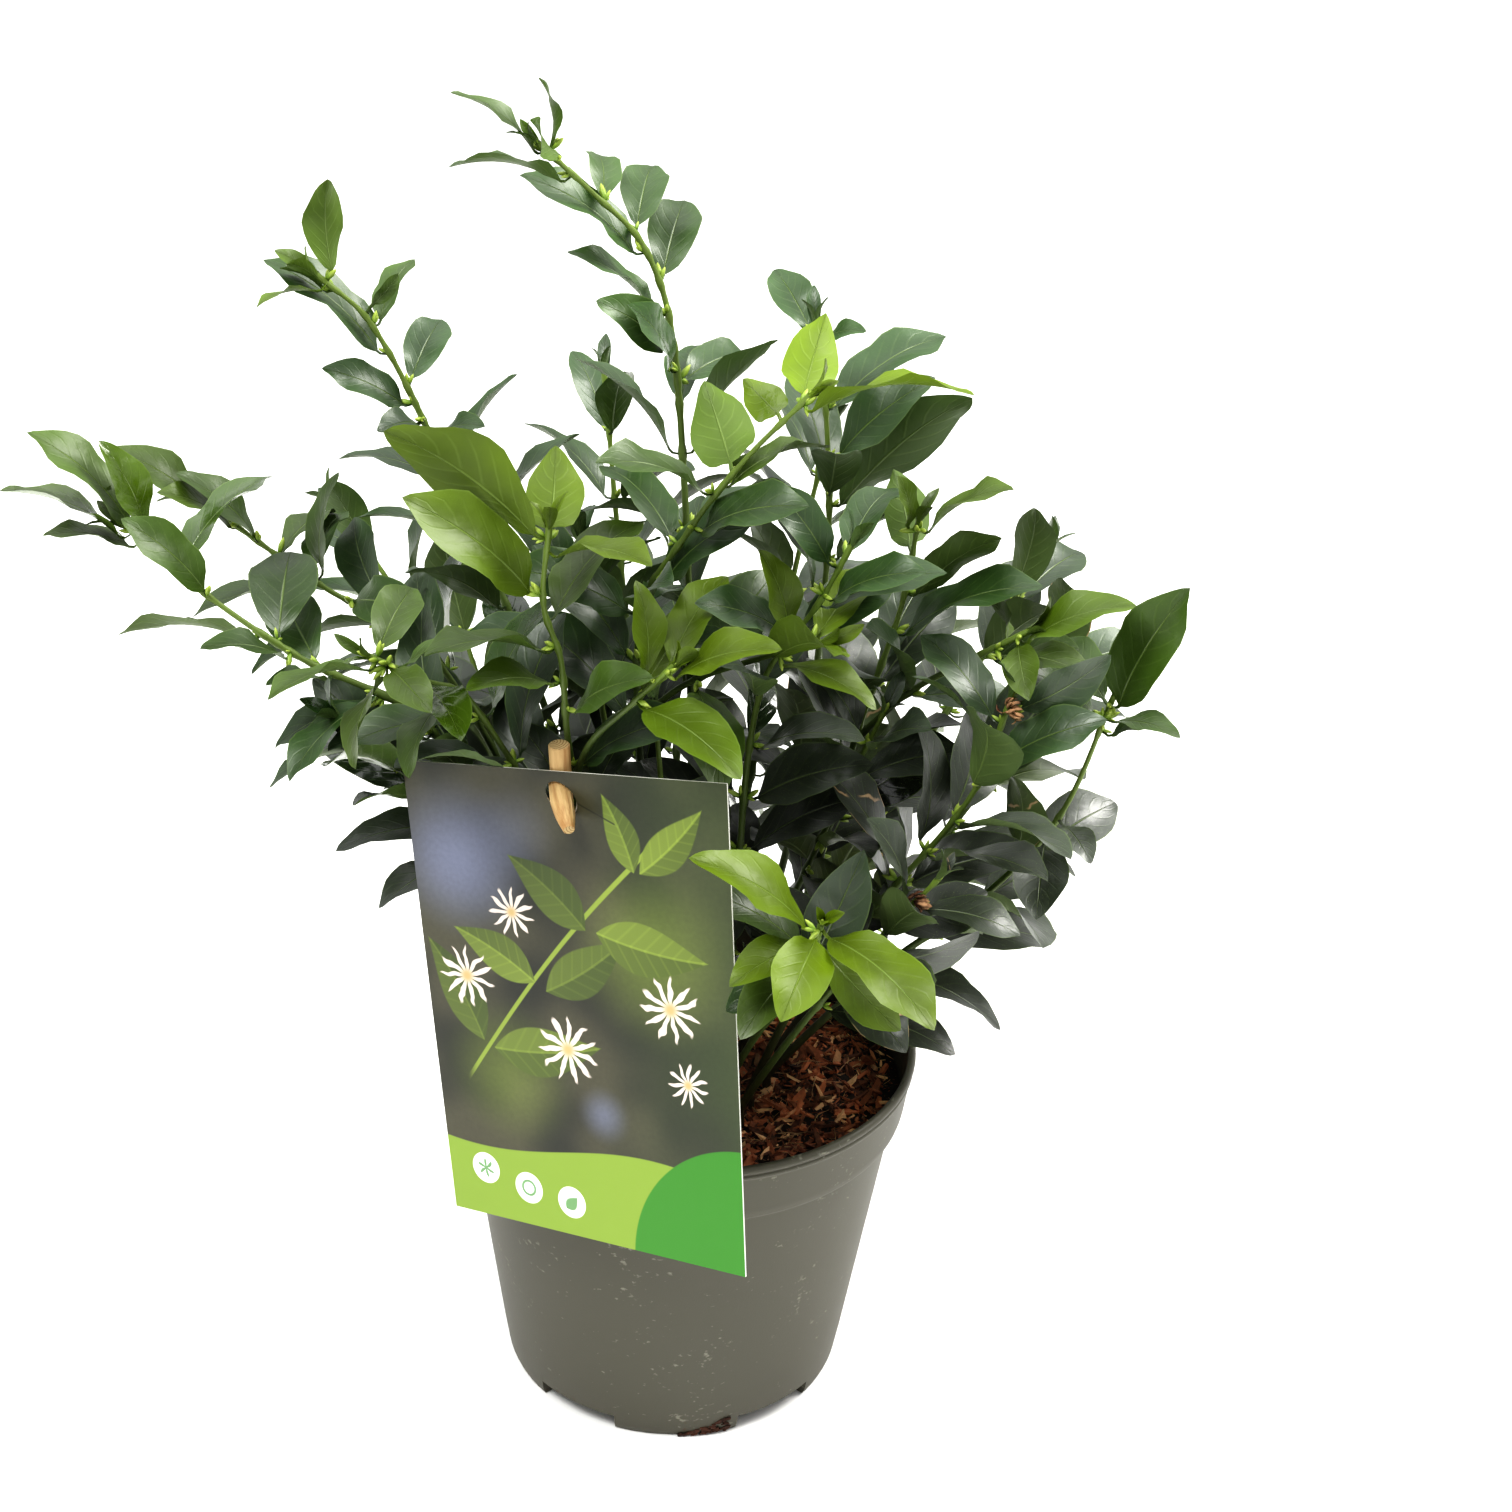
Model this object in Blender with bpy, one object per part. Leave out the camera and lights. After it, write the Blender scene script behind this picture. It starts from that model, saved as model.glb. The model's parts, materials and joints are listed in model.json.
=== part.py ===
"""A potted sweet box shrub: nursery pot, compost, leafy stems and a picture label on a stake.

Metres, +Z up. The origin is the middle of the pot's base, and the front of the pot faces -Y.
"""

import math
import random
from dataclasses import dataclass, field

import bpy
from mathutils import Vector
from mathutils.bvhtree import BVHTree

MM = 0.001

# Pot, a three-litre container
RIM_RADIUS = 95.0
POT_HEIGHT = 149.0
WALL = 1.3
FLOOR = 1.6
COLLAR_FOOT = 121.0
COLLAR_LOW_RADIUS = 91.6
BODY_TOP_RADIUS = 87.2
BODY_LOW_RADIUS = 71.9
BODY_LOW_HEIGHT = 16.0
BASE_RADIUS = 68.6
BEAD_HEIGHT = 3.7
RIDGE_FOOT = 6.0
POT_SIDES = 32

# Five arches raised under the pot's lower edge, between its feet, each with a drain slot
ARCH_TURNS = (20.5, 92.5, 164.5, 236.5, 308.5)
ARCH_WIDTH = 30.0
ARCH_HEIGHT = 7.0
ARCH_DEPTH_RADIUS = 60.0
ARCH_SKIN = 1.8
ARCH_SET_IN = 0.4
SLOT_WIDTH = 14.0
SLOT_FLOOR = 2.6
SLOT_SET_IN = 6.0
CUT_PAST = 8.0

# Compost
SOIL_TOP = 128.0
SOIL_GAP = 0.3
SOIL_RELIEF = 1.6
SOIL_DOME = 2.5
SOIL_FALL = 3.0
SOIL_EDGE_DROP = 0.5
SOIL_RINGS = (0.0, 26.0, 50.0, 72.0)
HOLE_GAP = 0.5
HOLE_SIDES = 6
ROOT_DEPTH = 22.0
ROOT_RING = 4.0

# Picture label: a card, turned a little more at its foot than at its head
CARD_WIDTH = 134.6
CARD_HEIGHT = 184.2
CARD_THICKNESS = 0.8
CARD_MIDDLE = Vector((-38.4, -82.1, 211.1))
CARD_TURN_HEAD = 26.7
CARD_TURN_FOOT = 33.8
CARD_TILT = 10.7
CARD_LEAN = 7.5
STAKE_ACROSS = -2.8
STAKE_RADIUS = 4.0
STAKE_ABOVE_CARD = 9.5
STAKE_ROOT = Vector((-34.0, -44.0, 84.0))
STAKE_SIDES = 12
TOUCH_GAP = 0.3

# The peg's place on the card, its direction, and its rings: distance past the card and radius
PEG_ACROSS = -0.5
PEG_DOWN = 9.7
PEG_WAY = Vector((0.2, -0.85, -0.25)).normalized()
PEG_RINGS = ((-8.4, 3.4), (1.0, 4.5), (9.35, 3.7), (17.0, 1.8))
PEG_SIDES = 10
PEG_HOLE_RADIUS = 5.1

# Leaves and stems
STEM_SIDES = 4
STEM_RADIUS = 2.2
STEM_TIP_RADIUS = 0.9
SHOOT_RADIUS = 1.5
SHOOT_SUNK = 8.0
NODE_HALF = 2.0
NODE_STEP = 4.4
PAIR_REACH = 3.5
RING_STEP = 30.0
PETIOLE = 5.5
PETIOLE_OUT = 3.0
PETIOLE_HALF_WIDTH = 0.9
SHARPEST_BEND = 0.4
ROOT_CLEAR = 0.7
ROOT_FAT = 0.4
BLADE_THICKNESS = 1.4
LEAF_LENGTH = 55.0
WIDTH_RATIO = 0.44
WIDEST_AT = 0.44
BASE_FULLNESS = 0.64
FOLD = 0.26
ARCH = 0.10
WAVE = 0.035
SHOWN_STATIONS = (0.0, 0.18, 0.46, 0.78)
FILL_STATIONS = (0.26, 0.70)
SEED = 11

# How a leaf is moved until it is clear of the others, at most: shortened, and turned away
LEAF_GAP = 0.9
SHOWN_TRIES = 110
FILL_TRIES = 40
MOST_SHORTENED = 0.25
MOST_ROLLED = 1.1
TURNED_PER_ROLL = 0.6

# Leaves that a rule sets: angles in degrees, lengths as shares of LEAF_LENGTH
GOLDEN_TURN = 137.5
FILL_TURN_SPREAD = 24.0
FILL_ANGLE = (52.0, 78.0)
FILL_ANGLE_CLOSING = 22.0
FILL_DROOP = (0.05, 0.3)
FILL_LENGTH = (0.86, 1.12)
FILL_WIDTH = (0.92, 1.08)
FILL_TIP_FROM = 0.8
FILL_TIP_SHORTER = 0.22

# The view that the leaf angles are given in: along +Y, looking down by this angle
VIEW_PITCH = math.radians(27.3)
VIEW_RIGHT = Vector((1.0, 0.0, 0.042)).normalized()
VIEW_UP = Vector((-0.035, math.sin(VIEW_PITCH), math.cos(VIEW_PITCH))).normalized()
VIEW_TOWARD = VIEW_RIGHT.cross(VIEW_UP)


@dataclass
class Leaf:
    """One leaf: its place along the shoot from 0 to 1, size in mm and angles in degrees as seen
    from the front. Turn is anticlockwise from the right, lean is towards the viewer, and face is
    how far the upper side turns to the viewer, from 0 edge-on to 90 broadside."""

    at: float
    length: float
    turn: float
    lean: float
    face: float
    ratio: float = WIDTH_RATIO


@dataclass
class Shoot:
    """A stem or side shoot: the points of its route in mm, the leaves that the front view shows
    one by one, and the number of further leaves that a rule sets along it, from the share `bare`
    of its length up to the share `full`."""

    route: list
    leaves: list = field(default_factory=list)
    fill: int = 0
    bare: float = 0.4
    full: float = 0.97
    side_shoots: list = field(default_factory=list)
    radius: float = STEM_RADIUS


def rooted(x, y, *route):
    """The route of a stem that stands upright in its hole in the compost at x, y."""
    return [(x, y, SOIL_TOP - ROOT_DEPTH), (x, y, SOIL_TOP + 3.0), (x, y, SOIL_TOP + 9.0), *route]


STEMS = {
    "stem_tall": Shoot(
        rooted(5, 10, (2, 12, 210), (-2, 12, 310), (-7, 20, 386), (-14, 25, 443), (-25, 22, 472),
               (-41, 15, 490), (-60, 5, 510)),
        [Leaf(1.0, 38, 152, 30, 25, 0.3), Leaf(1.0, 27, 88, 45, -25, 0.36), Leaf(0.99, 36, 66, 45, 45),
         Leaf(0.98, 30, 172, 40, 20, 0.3), Leaf(0.96, 46, 182, 25, 12), Leaf(0.92, 38, 101, -50, 55),
         Leaf(0.88, 44, 81, -45, 85, 0.46), Leaf(0.86, 54, 152, 22, 40), Leaf(0.83, 48, 77, -40, 85, 0.46),
         Leaf(0.80, 46, 152, 28, 25), Leaf(0.77, 48, 145, 45, 50), Leaf(0.75, 50, 161, 50, 80, 0.44),
         Leaf(0.74, 48, 28, -50, 55), Leaf(0.72, 46, 72, -50, 65)],
        fill=12, bare=0.30, full=0.71),
    "stem_back_left": Shoot(
        rooted(-14, 18, (-38, 28, 215), (-69, 40, 304), (-105, 50, 386), (-126, 44, 431), (-143, 38, 449)),
        [Leaf(1.0, 38, 79, 32, -50), Leaf(1.0, 30, 215, 35, 25, 0.3), Leaf(0.99, 24, 116, 50, 50),
         Leaf(0.94, 26, 97, 50, 45), Leaf(0.92, 38, 67, -32, 50), Leaf(0.89, 58, 142, 17, 35),
         Leaf(0.85, 42, 71, -42, 85, 0.46), Leaf(0.83, 40, 160, 30, 55), Leaf(0.81, 40, 168, 36, 20),
         Leaf(0.79, 36, -16, 55, 50)],
        fill=12, bare=0.34, full=0.78),
    "stem_left_arch": Shoot(
        rooted(-24, 2, (-52, -8, 215), (-102, -20, 298), (-144, -28, 325), (-177, -30, 350),
               (-205, -30, 376)),
        [Leaf(1.0, 46, 165, 28, 15), Leaf(1.0, 50, 139, 30, 35), Leaf(0.98, 44, 126, 42, 65),
         Leaf(0.97, 42, 162, 40, 25), Leaf(0.93, 54, 50, -28, 35), Leaf(0.89, 46, 133, 35, 55),
         Leaf(0.82, 64, 161, 15, 28, 0.36), Leaf(0.80, 48, 90, -42, 88, 0.6), Leaf(0.78, 40, 179, 45, 30),
         Leaf(0.75, 46, 124, -48, 80, 0.52), Leaf(0.73, 32, 196, 45, 25), Leaf(0.68, 52, 237, 22, 35)],
        fill=9, bare=0.36, full=0.70),
    "stem_left_upper": Shoot(
        rooted(-27, 15, (-62, 14, 235), (-106, 20, 312), (-140, 20, 331), (-187, 20, 366)),
        [Leaf(1.0, 40, 150, 30, 45), Leaf(0.95, 40, 161, 44, 40), Leaf(0.92, 46, 142, 25, 40),
         Leaf(0.89, 40, 49, -50, 45), Leaf(0.85, 44, 77, -38, 52), Leaf(0.79, 46, -7, 46, 80)],
        fill=12, bare=0.36, full=0.88),
    "stem_left_front": Shoot(
        rooted(-20, -14, (-45, -32, 240), (-81, -50, 322), (-97, -60, 334), (-114, -70, 347)),
        [Leaf(1.0, 44, 67, -50, 85, 0.46), Leaf(1.0, 44, 207, 38, 20), Leaf(0.99, 48, 246, 35, 42),
         Leaf(0.98, 44, 287, 44, 80, 0.44), Leaf(0.97, 40, 0, 46, 35), Leaf(0.92, 46, 310, 50, 52),
         Leaf(0.87, 46, 252, 42, 38)],
        fill=10, bare=0.40, full=0.84),
    "stem_centre_front": Shoot(
        rooted(-10, -22, (-30, -38, 220), (-45, -50, 305), (-48, -54, 341), (-54, -60, 365),
               (-52, -64, 395)),
        [Leaf(1.0, 46, 90, -45, -85, 0.52), Leaf(1.0, 68, 150, 26, -52), Leaf(0.97, 50, -11, 40, 25),
         Leaf(0.91, 66, 143, 32, 55), Leaf(0.87, 62, 49, -34, 38), Leaf(0.83, 56, 187, 38, 18),
         Leaf(0.78, 46, 187, 46, 38), Leaf(0.74, 48, 18, 44, 50), Leaf(0.66, 54, 20, 30, 45),
         Leaf(0.60, 52, 200, 35, 45)],
        fill=8, bare=0.36, full=0.62,
        side_shoots=[Shoot([(-43, -48, 290), (-36, -60, 312), (-22, -70, 332), (-8, -76, 350)],
                           [Leaf(1.0, 44, 60, -30, 60), Leaf(0.95, 50, 10, 35, 40),
                            Leaf(0.85, 46, 120, 30, 50)],
                           fill=2, bare=0.5, radius=SHOOT_RADIUS)]),
    "stem_right_centre": Shoot(
        rooted(3, -7, (-14, -12, 230), (-21, -20, 342), (-4, -32, 383), (15, -42, 415), (35, -52, 442)),
        [Leaf(1.0, 50, 78, -45, -85, 0.44), Leaf(0.99, 68, -2, 34, 12, 0.3),
         Leaf(0.96, 36, 125, -50, -80, 0.46), Leaf(0.88, 52, 106, -42, -85, 0.5),
         Leaf(0.86, 54, 24, -38, 20), Leaf(0.85, 54, 170, 40, 28),
         Leaf(0.80, 58, 19, 40, 42), Leaf(0.77, 54, 132, -36, 40), Leaf(0.72, 54, 30, 30, 50),
         Leaf(0.68, 56, 165, 25, 55)],
        fill=12, bare=0.30, full=0.72,
        side_shoots=[Shoot([(-19, -15, 300), (-2, -30, 322), (22, -46, 340), (44, -56, 352)],
                           [Leaf(1.0, 48, 50, -40, 60), Leaf(0.96, 40, 5, 40, 40),
                            Leaf(0.88, 42, 110, 30, 50), Leaf(0.8, 46, -30, 30, 45)],
                           fill=3, bare=0.2, radius=SHOOT_RADIUS)]),
    "stem_back_right": Shoot(
        rooted(20, 22, (42, 50, 220), (51, 70, 330), (48, 78, 385), (42, 80, 422)),
        [Leaf(1.0, 40, 120, -38, 80), Leaf(0.98, 28, 7, 50, 50), Leaf(0.90, 62, 33, -20, 45),
         Leaf(0.84, 56, 35, 28, 62), Leaf(0.78, 76, 38, 26, -48)],
        fill=12, bare=0.34, full=0.84),
    "stem_right": Shoot(
        rooted(23, 5, (45, 2, 205), (64, 0, 294), (76, 0, 341), (80, -4, 378)),
        [Leaf(1.0, 44, 16, 40, 22), Leaf(0.98, 30, 112, 44, 45), Leaf(0.95, 46, 99, -40, -70),
         Leaf(0.89, 46, 29, 32, -42), Leaf(0.83, 64, 16, 30, 30), Leaf(0.78, 50, 60, -30, 60)],
        fill=12, bare=0.36, full=0.78,
        side_shoots=[Shoot([(62, 0, 285), (80, -12, 312), (102, -22, 332), (120, -28, 346)],
                           [Leaf(1.0, 36, 267, 45, 70), Leaf(0.98, 48, 20, 30, 30),
                            Leaf(0.92, 44, 120, -20, 55), Leaf(0.85, 46, -20, 35, 40)],
                           fill=3, bare=0.2, radius=SHOOT_RADIUS)]),
    "stem_far_right": Shoot(
        rooted(35, -9, (75, -15, 190), (117, -20, 233), (141, -20, 267), (155, -25, 319)),
        [Leaf(1.0, 56, 59, 35, 60), Leaf(1.0, 44, 124, -50, 75), Leaf(0.98, 52, 142, 28, 50),
         Leaf(0.97, 34, -16, 38, 38), Leaf(0.94, 26, 9, 50, 38), Leaf(0.78, 30, -60, 50, 70),
         Leaf(0.74, 42, 259, 44, 80, 0.5)],
        fill=8, bare=0.36, full=0.74),
    "stem_low_right": Shoot(
        rooted(28, -20, (52, -32, 205), (80, -40, 247), (104, -50, 292), (114, -50, 329)),
        [Leaf(1.0, 50, 60, 10, 65), Leaf(0.96, 48, 130, -25, 60), Leaf(0.9, 50, 20, 30, 55)],
        fill=16, bare=0.36),
    "stem_front_right": Shoot(
        rooted(15, -30, (29, -48, 182), (44, -75, 222), (47, -115, 271)),
        [Leaf(1.0, 60, 318, 33, 50), Leaf(1.0, 46, 245, 42, 85, 0.5), Leaf(0.97, 56, 150, 20, 40),
         Leaf(0.97, 64, -12, 28, 38), Leaf(0.93, 54, 168, 30, 45), Leaf(0.90, 54, 285, 34, 60),
         Leaf(0.86, 50, 227, 38, 62), Leaf(0.84, 46, 150, 10, 45)],
        fill=2, bare=0.62, full=0.8),
    "stem_mid_right": Shoot(
        rooted(12, -15, (18, -30, 215), (24, -40, 325), (44, -45, 364), (53, -45, 384)),
        [Leaf(1.0, 48, 50, -42, 55), Leaf(0.97, 44, 140, 30, 50), Leaf(0.93, 46, 10, 40, 45),
         Leaf(0.86, 50, 170, 30, 45)],
        fill=16, bare=0.32),
    "stem_inner_right": Shoot(
        rooted(14, 2, (36, -8, 205), (56, -22, 270), (70, -30, 312)), fill=16, bare=0.36),
    "stem_inner_front": Shoot(
        rooted(2, -31, (-2, -44, 195), (-8, -50, 260), (-14, -52, 322)), fill=11, bare=0.42, full=0.86),
    "stem_low_front": Shoot(
        rooted(24, -33, (46, -52, 190), (70, -68, 236), (90, -76, 268)), fill=10, bare=0.52),
    "stem_low_left": Shoot(
        rooted(-34, -8, (-66, -12, 222), (-104, -22, 275), (-130, -34, 304)), fill=10, bare=0.58),
    "stem_inner_left": Shoot(
        rooted(-6, 0, (-20, 0, 220), (-36, 2, 300), (-44, 0, 362)), fill=14, bare=0.36),
    "stem_back_centre": Shoot(
        rooted(-5, 30, (-18, 58, 220), (-32, 88, 320), (-40, 100, 392)), fill=14, bare=0.34),
    "stem_back_mid": Shoot(
        rooted(9, 34, (22, 68, 215), (40, 108, 310), (52, 124, 366)), fill=14, bare=0.34),
    "stem_back_far_right": Shoot(
        rooted(30, 30, (68, 60, 205), (112, 86, 270), (140, 96, 324)), fill=12, bare=0.34),
    "stem_back_far_left": Shoot(
        rooted(-28, 30, (-66, 58, 215), (-112, 84, 285), (-146, 98, 332)), fill=12, bare=0.34),
    "stem_side_right": Shoot(
        rooted(40, 12, (84, 28, 200), (124, 40, 258), (150, 50, 312)), fill=12, bare=0.34),
    "stem_back_low": Shoot(
        rooted(0, 46, (-4, 88, 195), (-10, 132, 252), (-12, 156, 292)), fill=12, bare=0.36),
    "stem_back_low_right": Shoot(
        rooted(27, 44, (54, 90, 185), (80, 132, 232), (94, 154, 272)), fill=10, bare=0.36),
    "stem_back_low_left": Shoot(
        rooted(-30, 44, (-60, 86, 185), (-90, 126, 236), (-106, 146, 276)), fill=10, bare=0.36),
}

COLOURS = {
    "pot": (0.165, 0.160, 0.120, 0.55),
    "soil": (0.075, 0.030, 0.016, 0.95),
    "leaf": (0.055, 0.160, 0.030, 0.38),
    "card": (0.270, 0.400, 0.075, 0.45),
    "wood": (0.620, 0.430, 0.230, 0.60),
}


def clear_scene():
    """Removes the scene's objects."""
    for thing in list(bpy.data.objects):
        bpy.data.objects.remove(thing, do_unlink=True)


def material(name):
    """A plain Principled material in one of COLOURS."""
    made = bpy.data.materials.get(name) or bpy.data.materials.new(name)
    made.use_nodes = True
    shader = made.node_tree.nodes["Principled BSDF"]
    *colour, roughness = COLOURS[name]
    shader.inputs["Base Color"].default_value = (*colour, 1.0)
    shader.inputs["Roughness"].default_value = roughness
    shader.inputs["Metallic"].default_value = 0.0
    return made


def solid(name, points, faces, colour):
    """An object from points in mm and faces that look out."""
    mesh = bpy.data.meshes.new(name)
    mesh.from_pydata([tuple(MM * c for c in point) for point in points], [], faces)
    mesh.materials.append(material(colour))
    made = bpy.data.objects.new(name, mesh)
    bpy.context.scene.collection.objects.link(made)
    return made


def boolean(target, others, operation):
    """Joins or cuts the other objects with the target in one step, and removes them."""
    group = bpy.data.collections.new(target.name + "_others")
    bpy.context.scene.collection.children.link(group)
    for other in others:
        bpy.context.scene.collection.objects.unlink(other)
        group.objects.link(other)
    step = target.modifiers.new("joined", "BOOLEAN")
    step.operation = operation
    step.operand_type = "COLLECTION"
    step.collection = group
    step.solver = "EXACT"
    bpy.context.view_layer.update()
    shape = target.evaluated_get(bpy.context.evaluated_depsgraph_get())
    mesh = bpy.data.meshes.new_from_object(shape)
    target.modifiers.remove(step)
    target.data = mesh
    for other in others:
        bpy.data.objects.remove(other, do_unlink=True)
    bpy.data.collections.remove(group)


def turned(name, profile, sides, colour):
    """A solid of revolution about Z from a profile of (radius, height) that starts low, with the
    outside on its right. Its first ring is filled flat, and its last too, or drawn to a point."""
    points = []
    for radius, height in profile:
        for k in range(sides if radius else 1):
            angle = math.tau * k / sides
            points.append((radius * math.cos(angle), radius * math.sin(angle), height))
    faces = [tuple(reversed(range(sides)))]
    pointed = not profile[-1][0]
    for ring in range(len(profile) - 1 - pointed):
        for k in range(sides):
            here, there = ring * sides + k, ring * sides + (k + 1) % sides
            faces.append((here, there, there + sides, here + sides))
    last = sides * (len(profile) - 1 - pointed)
    if pointed:
        faces += [(last + k, last + (k + 1) % sides, last + sides) for k in range(sides)]
    else:
        faces.append(tuple(range(last, last + sides)))
    return solid(name, points, faces, colour)


def sector(name, inner, outer, low, high, middle, width, colour, steps=4):
    """A block between two radii and two heights, `width` degrees wide about a turn of `middle`."""
    points = []
    for step in range(steps + 1):
        angle = math.radians(middle - width / 2.0 + width * step / steps)
        for radius, height in ((inner, low), (outer, low), (outer, high), (inner, high)):
            points.append((radius * math.cos(angle), radius * math.sin(angle), height))
    faces = [(0, 1, 2, 3), tuple(4 * steps + k for k in (3, 2, 1, 0))]
    for step in range(steps):
        for k in range(4):
            here, there = 4 * step + k, 4 * step + (k + 1) % 4
            faces.append((here, here + 4, there + 4, there))
    return solid(name, points, faces, colour)


def outside_profile():
    """The pot's outer profile from the base's middle up to the lip's top."""
    return [
        (BASE_RADIUS, 0.0), (BASE_RADIUS + 1.1, 2.5), (BODY_LOW_RADIUS, BODY_LOW_HEIGHT),
        (BODY_TOP_RADIUS, COLLAR_FOOT - 1.2), (BODY_TOP_RADIUS + 0.9, COLLAR_FOOT),
        (COLLAR_LOW_RADIUS - 0.9, COLLAR_FOOT + 1.6), (COLLAR_LOW_RADIUS, COLLAR_FOOT + 5.0),
        (RIM_RADIUS - 1.2, POT_HEIGHT - RIDGE_FOOT), (RIM_RADIUS - 0.4, POT_HEIGHT - RIDGE_FOOT + 0.8),
        (RIM_RADIUS - 0.5, POT_HEIGHT - BEAD_HEIGHT - 0.5), (RIM_RADIUS - 1.0, POT_HEIGHT - BEAD_HEIGHT),
        (RIM_RADIUS, POT_HEIGHT - BEAD_HEIGHT + 1.0), (RIM_RADIUS - 0.1, POT_HEIGHT - 1.2),
        (RIM_RADIUS - 1.3, POT_HEIGHT),
    ]


def inside_profile():
    """The pot's inner profile from the lip's top down to the floor's middle."""
    return [
        (RIM_RADIUS - 2.9, POT_HEIGHT - 0.2), (RIM_RADIUS - 3.6, POT_HEIGHT - 1.6),
        (COLLAR_LOW_RADIUS - WALL, COLLAR_FOOT + 6.0), (BODY_TOP_RADIUS - WALL, COLLAR_FOOT),
        (BODY_LOW_RADIUS - WALL, BODY_LOW_HEIGHT), (BASE_RADIUS - WALL, FLOOR),
    ]


def arches(grow, past, colour, name):
    """The blocks that the raised arches take up inside the pot, grown by a gap all round and
    drawn past the side and the floor of what they cut."""
    wide = ARCH_WIDTH + 2.0 * math.degrees((ARCH_SKIN + grow) / BASE_RADIUS)
    inner = ARCH_DEPTH_RADIUS - ARCH_SKIN - grow
    outer = BASE_RADIUS - ARCH_SET_IN + past
    high = ARCH_HEIGHT + ARCH_SKIN + grow
    return [
        sector(f"{name}_{turn:.0f}", inner, outer, FLOOR / 2.0 - past, high, turn, wide, colour)
        for turn in ARCH_TURNS
    ]


def make_pot():
    """The pot: a turned shell with raised arches between its feet, and a slot through each."""
    pot = turned("pot", outside_profile() + inside_profile(), POT_SIDES, "pot")
    boolean(pot, arches(0.0, 0.0, "pot", "arch"), "UNION")
    cuts = []
    for turn in ARCH_TURNS:
        cuts.append(sector(f"under_{turn:.0f}", ARCH_DEPTH_RADIUS, BASE_RADIUS + CUT_PAST, -CUT_PAST,
                           ARCH_HEIGHT, turn, ARCH_WIDTH, "pot"))
        cuts.append(sector(f"slot_{turn:.0f}", ARCH_DEPTH_RADIUS - CUT_PAST, BASE_RADIUS - SLOT_SET_IN,
                           SLOT_FLOOR, ARCH_HEIGHT + CUT_PAST, turn, SLOT_WIDTH, "pot", steps=2))
    boolean(pot, cuts, "DIFFERENCE")
    shade(pot)
    return pot


def soil_height(x, y, rng):
    """The compost's height at a point: a shallow dome with loose lumps."""
    dome = SOIL_DOME - SOIL_FALL * math.hypot(x, y) / BODY_TOP_RADIUS
    return SOIL_TOP + dome + rng.uniform(-SOIL_RELIEF, SOIL_RELIEF)


def make_soil(holes):
    """The compost: it fills the pot to below the rim, and has a plain hole for each stem."""
    rng = random.Random(SEED)
    walls = [(radius - SOIL_GAP, height) for radius, height in reversed(inside_profile()[2:])]
    walls[0] = (walls[0][0], FLOOR + SOIL_GAP)
    rings = walls + [(walls[-1][0], SOIL_TOP - SOIL_EDGE_DROP)]
    rings += [(radius, SOIL_TOP) for radius in reversed(SOIL_RINGS)]
    soil = turned("soil", rings, POT_SIDES, "soil")
    for vertex in soil.data.vertices:
        x, y, z = (c / MM for c in vertex.co)
        if z > SOIL_TOP - SOIL_EDGE_DROP / 2.0:
            vertex.co.z = MM * soil_height(x, y, rng)
    boolean(soil, arches(SOIL_GAP, ARCH_SKIN, "soil", "room"), "DIFFERENCE")
    boolean(soil, holes, "DIFFERENCE")
    return soil


def hole(name, foot, head, radius, sides):
    """A prism round the line from foot to head, to cut a hole with."""
    along = (head - foot).normalized()
    across = along.orthogonal().normalized()
    other = along.cross(across)
    points = []
    for end in (foot, head):
        for k in range(sides):
            angle = math.tau * (k + 0.5) / sides
            points.append(end + radius * (math.cos(angle) * across + math.sin(angle) * other))
    faces = [tuple(reversed(range(sides))), tuple(range(sides, 2 * sides))]
    for k in range(sides):
        after = (k + 1) % sides
        faces.append((k, after, sides + after, sides + k))
    return solid(name, points, faces, "soil")


def rod(name, ends, radii, sides, colour):
    """A round rod, or a tapered one, through the points `ends` with a radius at each."""
    along = (ends[-1] - ends[0]).normalized()
    across = along.orthogonal().normalized()
    other = along.cross(across)
    points = []
    for end, radius in zip(ends, radii):
        for k in range(sides):
            angle = math.tau * k / sides
            points.append(end + radius * (math.cos(angle) * across + math.sin(angle) * other))
    last = sides * (len(ends) - 1)
    faces = [tuple(reversed(range(sides))), tuple(range(last, last + sides))]
    for ring in range(0, last, sides):
        for k in range(sides):
            after = (k + 1) % sides
            faces.append((ring + k, ring + after, ring + sides + after, ring + sides + k))
    made = solid(name, points, faces, colour)
    shade(made)
    return made


def card_axes(down):
    """The card's directions across, up and out of its face, at a share `down` of its height."""
    turn = math.radians(CARD_TURN_HEAD + (CARD_TURN_FOOT - CARD_TURN_HEAD) * down)
    lean, tilt = math.radians(CARD_LEAN), math.radians(CARD_TILT)
    level = Vector((math.cos(turn), -math.sin(turn), 0.0))
    out = Vector((-math.sin(turn), -math.cos(turn), 0.0))
    rise = Vector((0.0, 0.0, 1.0)) * math.cos(lean) - out * math.sin(lean)
    across = level * math.cos(tilt) + rise * math.sin(tilt)
    up = rise * math.cos(tilt) - level * math.sin(tilt)
    return across, up, across.cross(up)


def card_point(across, down):
    """A point on the card's middle plane, from its middle line and its upper edge, in mm."""
    spine = card_axes(0.5)[1]
    return (CARD_MIDDLE + spine * (CARD_HEIGHT / 2.0 - down)
            + card_axes(down / CARD_HEIGHT)[0] * across)


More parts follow.
